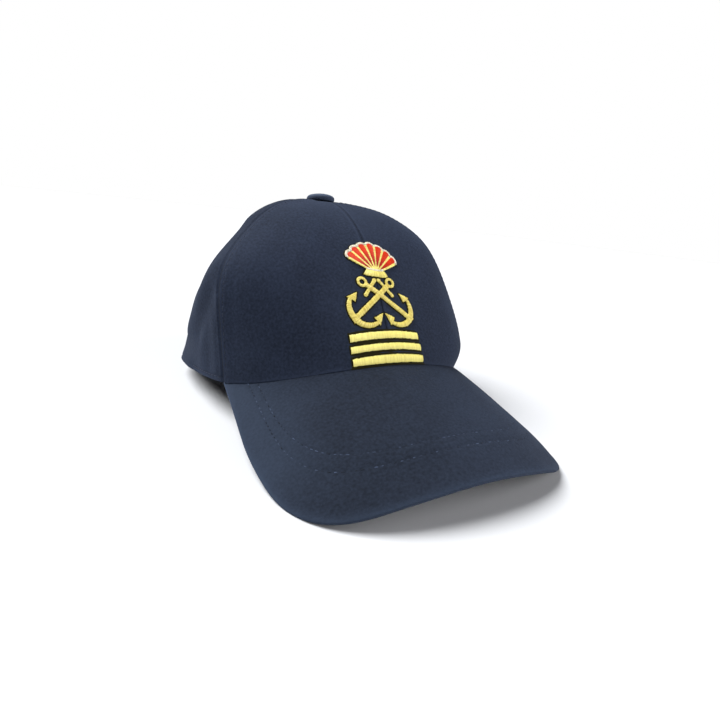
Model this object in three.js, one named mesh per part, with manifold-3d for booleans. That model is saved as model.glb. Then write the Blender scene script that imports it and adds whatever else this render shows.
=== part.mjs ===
// A soft peaked cap of six cloth panels with a covered button, a curved peak and a plain back strap.
// Millimetres, +Z up. The peak points to -Y and the wearer's left is +X.
// The panels and the peak are worked out with the hem level, as the cap is worn.
// The whole cap is then leant back until it rests by itself on the peak and the back hem.

import * as THREE from 'three';
import { mergeVertices } from 'three/addons/utils/BufferGeometryUtils.js';
import Module from 'manifold-3d';

// Crown
const CROWN_LENGTH = 193;
const CROWN_WIDTH = 168.8;
const CROWN_HEIGHT = 104;
const BUTTON_AHEAD = 3.5;
const PLAN_ROUNDNESS = 2.32;
const GORE_DEPTH = 0.027;
const FRONT_SEAM_SIDE = 61.4;
const FRONT_CLOTH = 2.0;
const CLOTH = 1.6;
const GAP = 0.3;

// Peak
const PEAK_LENGTH = 75;
const PEAK_THICKNESS = 3.0;
const PEAK_END_SIDE = 62.4;
const PEAK_ARCH_RISE = 30;
const PEAK_ARCH_STEEPENING = 3.8;
const PEAK_SLOPE = 0.257;
const PEAK_DROOP = 0.00113;
const PEAK_FRONT_REACH = 98.3;
const PEAK_SIDE_REACH = 68.5;
const PEAK_SIDE_FLARE = 1.9;
const PEAK_SEAM_ALLOWANCE = 0.6;
const PEAK_EDGE_BLUNT = 0.3;

// Back opening and strap
const ARCH_WIDTH = 64;
const ARCH_HEIGHT = 46;
const ARCH_SIDE_HEIGHT = 12;
const STRAP_HEIGHT = 22;
const STRAP_LIFT = 2.5;
const STRAP_OVERLAP = 12;
const STRAP_CLOTH = 1.8;

// Button
const BUTTON_DIAMETER = 16;
const BUTTON_HEIGHT = 5.2;
const SHANK_DIAMETER = 3;

// Rest: how far the soft hem and the peak's edge give where they touch the floor
const SAG = 0.5;

// Grid steps
const PANEL_STEPS_ROUND = 10;
const PANEL_STEPS_DOWN = 20;
const PEAK_STEPS_ACROSS = 36;
const PEAK_STEPS_OUT = 13;
const PEAK_STEP_CROWDING = 1.8;
const STRAP_STEPS = 18;
const ARCH_STEPS = 20;
const BUTTON_STEPS = 32;

const HALF_WIDTH = CROWN_WIDTH / 2;
const FRONT_LENGTH = CROWN_LENGTH / 2 - BUTTON_AHEAD;
const BACK_LENGTH = CROWN_LENGTH / 2 + BUTTON_AHEAD;
const BACK_SEAM_SIDE = (FRONT_SEAM_SIDE + 180) / 2;

// Crown profile at four directions from the front, in degrees. Each is a cubic curve from the button to
// the hem. topReach is the share of the plan that the top stays flat for, wallReach is how high up the
// wall the side pull acts, as a share of the height, and bulge is how far the wall swells past the hem.
const PROFILES = [
  { side: 0, topReach: 0.66, wallReach: 0.23, bulge: -0.07 },
  { side: 60, topReach: 0.87, wallReach: 0.48, bulge: 0.045 },
  { side: 120, topReach: 0.59, wallReach: 0.44, bulge: -0.04 },
  { side: 180, topReach: 0.62, wallReach: 0.50, bulge: 0 },
];

// Soft swells and dents of the cloth. side and sideSpread are degrees from the front, positive to the
// wearer's left. down and downSpread are shares of the way from the button to the hem. push is a share of
// the crown's width, outwards where positive.
const DENTS = [
  { side: -64, sideSpread: 22, down: 0.613, downSpread: 0.13, push: 0.0462 },
  { side: 58, sideSpread: 24, down: 0.92, downSpread: 0.13, push: 0.0326 },
  { side: 45, sideSpread: 24, down: 0.63, downSpread: 0.15, push: -0.0113 },
  { side: -150, sideSpread: 45, down: 0.29, downSpread: 0.15, push: 0.0124 },
  { side: -100, sideSpread: 25, down: 0.52, downSpread: 0.12, push: -0.0379 },
];
const DENT_FREE_TOP = 0.1;
const DENT_FREE_HEM = 0.12;

const PANELS = [
  { name: 'panel_front_left', from: 0, to: FRONT_SEAM_SIDE, cloth: FRONT_CLOTH },
  { name: 'panel_side_left', from: FRONT_SEAM_SIDE, to: BACK_SEAM_SIDE, cloth: CLOTH },
  { name: 'panel_back_left', from: BACK_SEAM_SIDE, to: 180, cloth: CLOTH },
  { name: 'panel_back_right', from: -180, to: -BACK_SEAM_SIDE, cloth: CLOTH },
  { name: 'panel_side_right', from: -BACK_SEAM_SIDE, to: -FRONT_SEAM_SIDE, cloth: CLOTH },
  { name: 'panel_front_right', from: -FRONT_SEAM_SIDE, to: 0, cloth: FRONT_CLOTH },
];

const MATERIALS = {
  cloth: { color: 0x3a4154, roughness: 0.92, metalness: 0 },
  button: { color: 0x39404f, roughness: 0.9, metalness: 0 },
  peak: { color: 0x404858, roughness: 0.9, metalness: 0 },
  strap: { color: 0x373e4f, roughness: 0.92, metalness: 0 },
};

const rad = (degrees) => (degrees * Math.PI) / 180;
const clamp = (value, low, high) => Math.min(high, Math.max(low, value));
const signedPower = (value, power) => Math.sign(value) * Math.abs(value) ** power;

/** Smooth value of one profile column all round, level with each station of the table. */
function profileValue(column, side) {
  const last = PROFILES.length - 1;
  let value = 0;
  for (let k = 0; k <= last; k += 1) {
    let weight = 0;
    PROFILES.forEach((station, j) => {
      const share = j === 0 || j === last ? 0.5 : 1;
      weight += share * station[column] * Math.cos((k * j * Math.PI) / last);
    });
    const ends = k === 0 || k === last ? 0.5 : 1;
    value += ((2 * ends * weight) / last) * Math.cos(k * side);
  }
  return value;
}

/** Point of the head oval in plan, at an angle from the front. */
function planPoint(side) {
  const power = 2 / PLAN_ROUNDNESS;
  const forward = Math.cos(side);
  const reach = forward > 0 ? FRONT_LENGTH : BACK_LENGTH;
  return [HALF_WIDTH * signedPower(Math.sin(side), power), -reach * signedPower(forward, power)];
}

const PEAK_END = planPoint(rad(PEAK_END_SIDE));
const PEAK_FRONT_Y = -FRONT_LENGTH - PEAK_LENGTH;

function archRise(x) {
  const share = x / HALF_WIDTH;
  return PEAK_ARCH_RISE * share ** 2 + PEAK_ARCH_STEEPENING * share ** 4;
}

/** Height of the peak's upper face, arched across and sloping down towards the front. */
function peakHeight(x, y) {
  const out = PEAK_END[1] - y;
  return archRise(PEAK_END[0]) - archRise(x) - PEAK_SLOPE * out - PEAK_DROOP * out * out;
}

/** Height of the hem: on the peak in front, level behind it. */
function hemHeight(side) {
  const [x, y] = planPoint(side);
  return Math.abs(side) <= rad(PEAK_END_SIDE) ? peakHeight(x, y) : 0;
}

function goreShare(side, down) {
  const seams = [0, rad(FRONT_SEAM_SIDE), rad(BACK_SEAM_SIDE), Math.PI];
  const away = Math.abs(side);
  let panel = 0;
  while (panel < 2 && away >= seams[panel + 1]) {
    panel += 1;
  }
  const across = ((away - seams[panel]) / (seams[panel + 1] - seams[panel])) * 2 - 1;
  const sink = Math.sqrt(Math.max(0, Math.sin(Math.PI * clamp(down, 0, 1))));
  return 1 - GORE_DEPTH * (1 - across * across) * sink;
}

function dentPush(side, down) {
  let push = 0;
  for (const dent of DENTS) {
    let turn = (side - rad(dent.side)) % (2 * Math.PI);
    if (turn > Math.PI) {
      turn -= 2 * Math.PI;
    }
    if (turn < -Math.PI) {
      turn += 2 * Math.PI;
    }
    const round = turn / rad(dent.sideSpread);
    const along = (down - dent.down) / dent.downSpread;
    push += dent.push * CROWN_WIDTH * Math.exp(-0.5 * (round * round + along * along));
  }
  const nearTop = Math.min(1, down / DENT_FREE_TOP);
  const nearHem = 1 - clamp((down - 1 + DENT_FREE_HEM) / DENT_FREE_HEM, 0, 1) ** 2;
  return push * nearTop * nearHem;
}

/** Point of the crown's outer face: down is 0 at the button and 1 at the hem. */
function crownPoint(side, down) {
  const [planX, planY] = planPoint(side);
  const hem = hemHeight(side);
  const up = 1 - down;
  const top = profileValue('topReach', side);
  const wall = profileValue('wallReach', side);
  const bulge = profileValue('bulge', side);
  const nearTop = 3 * down * up * up;
  const nearHem = 3 * down * down * up;
  const atHem = down ** 3;
  const reach = (nearTop * top + nearHem * (1 + bulge) + atHem) * goreShare(side, down);
  const height = (up ** 3 + nearTop) * CROWN_HEIGHT
    + nearHem * (hem + wall * (CROWN_HEIGHT - hem)) + atHem * hem;
  const point = new THREE.Vector3(reach * planX, reach * planY, height);
  const outwards = new THREE.Vector3(
    point.x / HALF_WIDTH ** 2,
    point.y / (CROWN_LENGTH / 2) ** 2,
    Math.max(0, height) / CROWN_HEIGHT ** 2,
  ).normalize();
  return point.addScaledVector(outwards, dentPush(side, down));
}

function crownNormal(side, down) {
  const step = 0.004;
  const low = clamp(down, step, 1 - step);
  const round = crownPoint(side + step, low).sub(crownPoint(side - step, low));
  const along = crownPoint(side, low + step).sub(crownPoint(side, low - step));
  return along.cross(round).normalize();
}

/** Closed solid between two grids of points of the same size, faces outwards. */
function solidBetween(outer, inner) {
  const rows = outer.length;
  const columns = outer[0].length;
  const positions = [];
  for (const grid of [outer, inner]) {
    grid.forEach((row) => row.forEach((point) => positions.push(point.x, point.y, point.z)));
  }
  const half = rows * columns;
  const at = (layer, i, j) => layer * half + i * columns + j;
  const index = [];
  const quad = (a, b, c, d) => index.push(a, b, c, a, c, d);
  for (let i = 0; i < rows - 1; i += 1) {
    for (let j = 0; j < columns - 1; j += 1) {
      quad(at(0, i, j), at(0, i, j + 1), at(0, i + 1, j + 1), at(0, i + 1, j));
      quad(at(1, i, j), at(1, i + 1, j), at(1, i + 1, j + 1), at(1, i, j + 1));
    }
  }
  for (let j = 0; j < columns - 1; j += 1) {
    quad(at(0, 0, j), at(1, 0, j), at(1, 0, j + 1), at(0, 0, j + 1));
    quad(at(0, rows - 1, j), at(0, rows - 1, j + 1), at(1, rows - 1, j + 1), at(1, rows - 1, j));
  }
  for (let i = 0; i < rows - 1; i += 1) {
    quad(at(0, i, 0), at(0, i + 1, 0), at(1, i + 1, 0), at(1, i, 0));
    quad(at(0, i, columns - 1), at(1, i, columns - 1), at(1, i + 1, columns - 1), at(0, i + 1, columns - 1));
  }
  return facingOut(positions, index);
}

function facingOut(positions, index) {
  const corner = (k) => new THREE.Vector3().fromArray(positions, 3 * k);
  let volume = 0;
  for (let k = 0; k < index.length; k += 3) {
    volume += corner(index[k]).dot(corner(index[k + 1]).cross(corner(index[k + 2])));
  }
  const facing = volume > 0 ? index : index.slice().reverse();
  const geometry = new THREE.BufferGeometry();
  geometry.setAttribute('position', new THREE.Float32BufferAttribute(positions, 3));
  geometry.setIndex(facing);
  return geometry;
}

/** Angle that leaves half a gap beside a seam, where the head oval is size times its full size. */
function seamTurn(degrees, size) {
  const offset = GAP / 2 / size;
  if (degrees % 180 === 0) {
    return Math.asin((offset / HALF_WIDTH) ** (PLAN_ROUNDNESS / 2));
  }
  const [planX, planY] = planPoint(rad(degrees));
  return offset / Math.hypot(planX, planY);
}

/** One cloth panel from the hole at the top to the hem, a gap short of its neighbours. */
function panelGeometry({ from, to, cloth }) {
  const outer = [];
  const inner = [];
  const holeRadius = SHANK_DIAMETER / 2 + GAP;
  for (let i = 0; i <= PANEL_STEPS_DOWN; i += 1) {
    const outerRow = [];
    const innerRow = [];
    for (let j = 0; j <= PANEL_STEPS_ROUND; j += 1) {
      const share = j / PANEL_STEPS_ROUND;
      const middle = rad(from + (to - from) * share);
      const [planX, planY] = planPoint(middle);
      const topDown = holeRadius / (3 * profileValue('topReach', middle) * Math.hypot(planX, planY));
      const down = topDown + (1 - topDown) * (i / PANEL_STEPS_DOWN);
      const inPlace = crownPoint(middle, down);
      const size = Math.hypot(inPlace.x, inPlace.y) / Math.hypot(planX, planY);
      const side = middle + seamTurn(from, size) * (1 - share) - seamTurn(to, size) * share;
      const point = crownPoint(side, down);
      const inside = point.clone().addScaledVector(crownNormal(side, down), -cloth);
      if (i === PANEL_STEPS_DOWN) {
        const overPeak = Math.abs(side) < rad(PEAK_END_SIDE);
        point.z = overPeak ? peakHeight(point.x, point.y) + GAP : 0;
        inside.z = overPeak ? peakHeight(inside.x, inside.y) + GAP : 0;
      }
      outerRow.push(point);
      innerRow.push(inside);
    }
    outer.push(outerRow);
    inner.push(innerRow);
  }
  return solidBetween(outer, inner);
}

/** Half of the peak's outer edge in plan, as a curve from the front centre to where the peak ends. */
function peakOutline(across) {
  const t = Math.abs(across);
  const s = 1 - t;
  const controls = [
    [0, PEAK_FRONT_Y],
    [PEAK_FRONT_REACH, PEAK_FRONT_Y],
    [PEAK_END[0] + PEAK_SIDE_FLARE, PEAK_END[1] - PEAK_SIDE_REACH],
    PEAK_END,
  ];
  const weights = [s ** 3, 3 * t * s * s, 3 * t * t * s, t ** 3];
  const sum = (k) => controls.reduce((total, control, j) => total + weights[j] * control[k], 0);
  return [Math.sign(across) * sum(0), sum(1)];
}

function peakNormal(x, y) {
  const step = 0.5;
  const slopeX = (peakHeight(x + step, y) - peakHeight(x - step, y)) / (2 * step);
  const slopeY = (peakHeight(x, y + step) - peakHeight(x, y - step)) / (2 * step);
  return new THREE.Vector3(-slopeX, -slopeY, 1).normalize();
}

/** The peak: one curved board, its inner margin under the front panels, its outer edge rounded. */
function peakGeometry() {
  const upper = [];
  const lower = [];
  const margin = FRONT_CLOTH + PEAK_SEAM_ALLOWANCE;
  const half = PEAK_THICKNESS / 2;
  for (let i = 0; i <= PEAK_STEPS_ACROSS; i += 1) {
    const across = (i / PEAK_STEPS_ACROSS) * 2 - 1;
    const rim = planPoint(across * rad(PEAK_END_SIDE));
    const shrink = 1 - margin / Math.hypot(rim[0], rim[1]);
    const edge = peakOutline(across);
    const width = Math.hypot(edge[0] - rim[0] * shrink, edge[1] - rim[1] * shrink);
    const upperRow = [];
    const lowerRow = [];
    for (let j = 0; j <= PEAK_STEPS_OUT; j += 1) {
      const left = (1 - j / PEAK_STEPS_OUT) ** PEAK_STEP_CROWDING;
      const x = edge[0] + left * (rim[0] * shrink - edge[0]);
      const y = edge[1] + left * (rim[1] * shrink - edge[1]);
      const inward = Math.min(1, (left * width) / half);
      const thin = Math.max(PEAK_EDGE_BLUNT, Math.sqrt(1 - (1 - inward) ** 2));
      const normal = peakNormal(x, y);
      const middle = new THREE.Vector3(x, y, peakHeight(x, y)).addScaledVector(normal, -half);
      upperRow.push(middle.clone().addScaledVector(normal, half * thin));
      lowerRow.push(middle.clone().addScaledVector(normal, -half * thin));
    }
    upper.push(upperRow);
    lower.push(lowerRow);
  }
  return solidBetween(upper, lower);
}

/** Point on the crown's outer face at a given height above the hem. */
function wallPoint(side, height) {
  let low = 0.2;
  let high = 1;
  for (let k = 0; k < 40; k += 1) {
    const middle = (low + high) / 2;
    if (crownPoint(side, middle).z > height) {
      low = middle;
    } else {
      high = middle;
    }
  }
  return crownPoint(side, (low + high) / 2);
}

/** A plain cloth band across the back opening, its ends inside the back panels. */
function strapGeometry() {
  const reach = ARCH_WIDTH / 2 + STRAP_OVERLAP;
  const outer = [];
  const inner = [];
  const halfTurn = Math.asin(clamp(reach / HALF_WIDTH, 0, 1) ** (PLAN_ROUNDNESS / 2));
  for (let i = 0; i <= STRAP_STEPS; i += 1) {
    const side = Math.PI + halfTurn * ((2 * i) / STRAP_STEPS - 1);
    const outerRow = [];
    const innerRow = [];
    for (const share of [0, 0.5, 1]) {
      const height = STRAP_LIFT + share * STRAP_HEIGHT;
      const wall = wallPoint(side > Math.PI ? side - 2 * Math.PI : side, height);
      const normal = new THREE.Vector3(wall.x / HALF_WIDTH ** 2, wall.y / BACK_LENGTH ** 2, 0).normalize();
      outerRow.push(wall.clone().addScaledVector(normal, -(CLOTH + 2 * GAP)));
      innerRow.push(wall.clone().addScaledVector(normal, -(CLOTH + 2 * GAP + STRAP_CLOTH)));
    }
    outer.push(outerRow);
    inner.push(innerRow);
  }
  return solidBetween(outer, inner);
}

/** Cloth-covered button with its shank through the hole where the panels meet. */
function buttonGeometry() {
  const radius = BUTTON_DIAMETER / 2;
  const base = CROWN_HEIGHT + GAP;
  const shankEnd = CROWN_HEIGHT - FRONT_CLOTH;
  const outline = [
    [0, shankEnd],
    [SHANK_DIAMETER / 2, shankEnd],
    [SHANK_DIAMETER / 2, base],
    [radius * 0.92, base],
    [radius * 0.98, base + BUTTON_HEIGHT * 0.08],
    [radius, base + BUTTON_HEIGHT * 0.3],
    [radius * 0.97, base + BUTTON_HEIGHT * 0.56],
    [radius * 0.87, base + BUTTON_HEIGHT * 0.76],
    [radius * 0.68, base + BUTTON_HEIGHT * 0.89],
    [radius * 0.38, base + BUTTON_HEIGHT * 0.97],
    [0, base + BUTTON_HEIGHT],
  ].map(([r, z]) => new THREE.Vector2(r, z));
  const turned = new THREE.LatheGeometry(outline, BUTTON_STEPS).rotateX(Math.PI / 2);
  turned.deleteAttribute('normal');
  turned.deleteAttribute('uv');
  const merged = mergeVertices(turned, 1e-4);
  const index = [];
  const all = merged.getIndex().array;
  for (let k = 0; k < all.length; k += 3) {
    const [a, b, c] = [all[k], all[k + 1], all[k + 2]];
    if (a !== b && b !== c && a !== c) {
      index.push(a, b, c);
    }
  }
  return facingOut(Array.from(merged.getAttribute('position').array), index);
}

const wasm = await Module();
wasm.setup();

function toManifold(geometry) {
  const bare = geometry.clone();
  bare.deleteAttribute('normal');
  bare.deleteAttribute('uv');
  const merged = mergeVertices(bare, 1e-5);
  return new wasm.Manifold(new wasm.Mesh({
    numProp: 3,
    vertProperties: new Float32Array(merged.getAttribute('position').array),
    triVerts: new Uint32Array(merged.getIndex().array),
  }));
}

function toGeometry(manifold) {
  const mesh = manifold.getMesh();
  const geometry = new THREE.BufferGeometry();
  geometry.setAttribute('position', new THREE.BufferAttribute(new Float32Array(mesh.vertProperties), 3));
  geometry.setIndex(new THREE.BufferAttribute(new Uint32Array(mesh.triVerts), 1));
  return geometry;
}

/** Arched opening through the back of the crown, from below the hem upwards. */
function archCutter() {
  const half = ARCH_WIDTH / 2;
  const shape = new THREE.Shape();
  shape.moveTo(-half, -CROWN_HEIGHT / 4);
  shape.lineTo(half, -CROWN_HEIGHT / 4);
  for (let k = 0; k <= ARCH_STEPS; k += 1) {
    const angle = (Math.PI * k) / ARCH_STEPS;
    const rise = (ARCH_HEIGHT - ARCH_SIDE_HEIGHT) * Math.sin(angle);
    shape.lineTo(half * Math.cos(angle), ARCH_SIDE_HEIGHT + rise);
  }
  shape.closePath();
  const prism = new THREE.ExtrudeGeometry(shape, { depth: BACK_LENGTH * 1.5, bevelEnabled: false });
  return prism.rotateX(Math.PI / 2).translate(0, BACK_LENGTH * 1.75, 0);
}

/** Slope of the line under the cap that carries it: from the peak's lowest part to the back hem. */
function restSlope(points, balance) {
  const sorted = points.slice().sort((a, b) => a[0] - b[0]);
  const hull = [];
  for (const point of sorted) {
    while (hull.length > 1) {
      const [a, b] = hull.slice(-2);
      if ((b[0] - a[0]) * (point[1] - a[1]) - (b[1] - a[1]) * (point[0] - a[0]) > 0) {
        break;
      }
      hull.pop();
    }
    hull.push(point);
  }
  const k = hull.findIndex((point) => point[0] > balance);
  return (hull[k][1] - hull[k - 1][1]) / (hull[k][0] - hull[k - 1][0]);
}

const arch = toManifold(archCutter());
const solids = {};
for (const panel of PANELS) {
  const whole = toManifold(panelGeometry(panel));
  solids[panel.name] = { body: panel.name.includes('back') ? whole.subtract(arch) : whole, finish: 'cloth' };
}
solids.peak = { body: toManifold(peakGeometry()), finish: 'peak' };
solids.back_strap = { body: toManifold(strapGeometry()), finish: 'strap' };
solids.top_button = { body: toManifold(buttonGeometry()), finish: 'button' };

const outline = [];
let weighed = 0;
let moment = 0;
for (const { body } of Object.values(solids)) {
  const vertices = body.getMesh().vertProperties;
  let middle = 0;
  for (let k = 0; k < vertices.length; k += 3) {
    outline.push([vertices[k + 1], vertices[k + 2]]);
    middle += vertices[k + 1];
  }
  const volume = body.volume();
  weighed += volume;
  moment += (volume * middle) / (vertices.length / 3);
}
const lean = Math.atan(restSlope(outline, moment / weighed));

// Lean the cap back, let it down by the sag and level what would go through the floor.
const reach = 4 * (CROWN_LENGTH + PEAK_LENGTH);
const above = wasm.Manifold.cube([reach, reach, reach]).translate([-reach / 2, -reach / 2, 0]);
const leant = {};
let lowest = Infinity;
for (const [name, { body }] of Object.entries(solids)) {
  leant[name] = body.rotate([(-lean * 180) / Math.PI, 0, 0]);
  lowest = Math.min(lowest, leant[name].boundingBox().min[2]);
}
const low = [Infinity, Infinity];
const high = [-Infinity, -Infinity];
for (const name of Object.keys(leant)) {
  leant[name] = leant[name].translate([0, 0, -lowest - SAG]).intersect(above);
  const box = leant[name].boundingBox();
  [0, 1].forEach((axis) => {
    low[axis] = Math.min(low[axis], box.min[axis]);
    high[axis] = Math.max(high[axis], box.max[axis]);
  });
}

const group = new THREE.Group();
group.name = 'peaked_cap';
for (const [name, body] of Object.entries(leant)) {
  const centred = body.translate([-(low[0] + high[0]) / 2, -(low[1] + high[1]) / 2, 0]);
  const mesh = new THREE.Mesh(
    toGeometry(centred),
    new THREE.MeshStandardMaterial(MATERIALS[solids[name].finish]),
  );
  mesh.name = name;
  group.add(mesh);
}

export default group;
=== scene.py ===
"""Looks of a soft navy peaked cap with an embroidered captain's badge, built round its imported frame.

The cap's outer face is worked out in millimetres with the hem level, as it is worn, and then leant back to
where the cap rests by itself. The wearer's left is +X and the peak points to -Y.
"""

import logging
import math
from collections.abc import Callable, Sequence
from dataclasses import dataclass, field
from enum import Enum

import bpy
import numpy as np
from mathutils import Matrix


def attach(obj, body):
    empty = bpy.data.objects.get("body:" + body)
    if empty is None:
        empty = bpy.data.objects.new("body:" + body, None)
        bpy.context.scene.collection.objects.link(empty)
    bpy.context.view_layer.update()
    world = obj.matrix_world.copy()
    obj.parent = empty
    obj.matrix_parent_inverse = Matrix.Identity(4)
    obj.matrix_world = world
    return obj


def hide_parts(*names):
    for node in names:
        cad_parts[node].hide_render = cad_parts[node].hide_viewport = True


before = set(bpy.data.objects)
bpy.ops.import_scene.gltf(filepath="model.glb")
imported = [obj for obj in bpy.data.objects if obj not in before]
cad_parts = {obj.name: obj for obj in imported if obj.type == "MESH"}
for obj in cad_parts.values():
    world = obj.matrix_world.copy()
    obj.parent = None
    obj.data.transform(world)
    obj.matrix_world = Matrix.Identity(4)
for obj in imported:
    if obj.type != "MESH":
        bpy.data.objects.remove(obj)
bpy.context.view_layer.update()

log = logging.getLogger("captain_hat")
Array = np.ndarray

MM = 0.001
BODY = "root"
UV_MM = 100.0  # millimetres of cloth in one unit of a piece's UV map
SEED = 11


# Numbers and curves


def smooth_step(value: Array, low: float, high: float) -> Array:
    """Rise from 0 at low to 1 at high, as 3s^2 - 2s^3 of the share s between them."""
    share = np.clip((np.asarray(value, float) - low) / (high - low), 0.0, 1.0)
    return share * share * (3.0 - 2.0 * share)


def bump_row(distance: Array, middle: float, half_width: float) -> Array:
    """Bell of height 1 at middle, exp(-((d - middle) / half_width)^2)."""
    return np.exp(-(((distance - middle) / half_width) ** 2))


def round_over(distance: Array, radius: Array | float) -> Array:
    """Drop of a rounded edge, 1 at the edge and 0 at radius: 1 - sqrt(1 - (1 - d / radius)^2)."""
    short = 1.0 - np.clip(distance / radius, 0.0, 1.0)
    return 1.0 - np.sqrt(1.0 - short**2)


def unit(vectors: Array) -> Array:
    """Vectors of length 1 along the last axis."""
    return vectors / np.maximum(np.linalg.norm(vectors, axis=-1, keepdims=True), 1e-12)


def lengths_along(points: Array, axis: int) -> Array:
    """Running length of the lines that a grid of points makes along one axis, 0 at their start."""
    steps = np.linalg.norm(np.diff(points, axis=axis), axis=-1)
    pads = [(0, 0)] * steps.ndim
    pads[axis] = (1, 0)
    return np.pad(np.cumsum(steps, axis=axis), pads)


def interp_rows(targets: Array, known: Array, values: Array) -> Array:
    """Linear interpolation row by row, each row with its own table."""
    return np.stack([np.interp(t, k, v) for t, k, v in zip(targets, known, values)])


def bezier(controls: Array, t: Array) -> Array:
    """Cubic curve: (1-t)^3 A + 3t(1-t)^2 B + 3t^2(1-t) C + t^3 D."""
    s = 1.0 - t
    weights = np.stack([s**3, 3 * t * s * s, 3 * t * t * s, t**3], -1)
    return weights @ controls


def even_points(curve: Array, count: int) -> Array:
    """The same curve as count points that lie evenly along it."""
    run = lengths_along(curve, 0)
    at = np.linspace(0.0, run[-1], count)
    return np.stack([np.interp(at, run, curve[:, k]) for k in range(curve.shape[1])], -1)


def edge_steps(near: Sequence[float], middle: int) -> Callable[[Array], tuple[Array, Array]]:
    """Spacing that is close beside both ends of a row and even between them.

    Args:
        near: distances in millimetres from an end, from 0 upwards.
        middle: how many even steps lie between.

    Returns:
        A function of the rows' lengths that gives the distances and each row's shrink of the near ones.
    """
    close = np.asarray(near, float)

    def spaced(length: Array) -> tuple[Array, Array]:
        scale = np.minimum(1.0, length / (3.0 * close[-1]))[:, None]
        left = close[None, :] * scale
        inner = np.linspace(0.0, 1.0, middle + 1)[None, 1:-1]
        span = length[:, None] - 2.0 * left[:, -1:]
        between = left[:, -1:] + inner * span
        right = length[:, None] - left[:, ::-1]
        return np.concatenate([left, between, right], 1), scale

    return spaced


# The cap's shape


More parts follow.
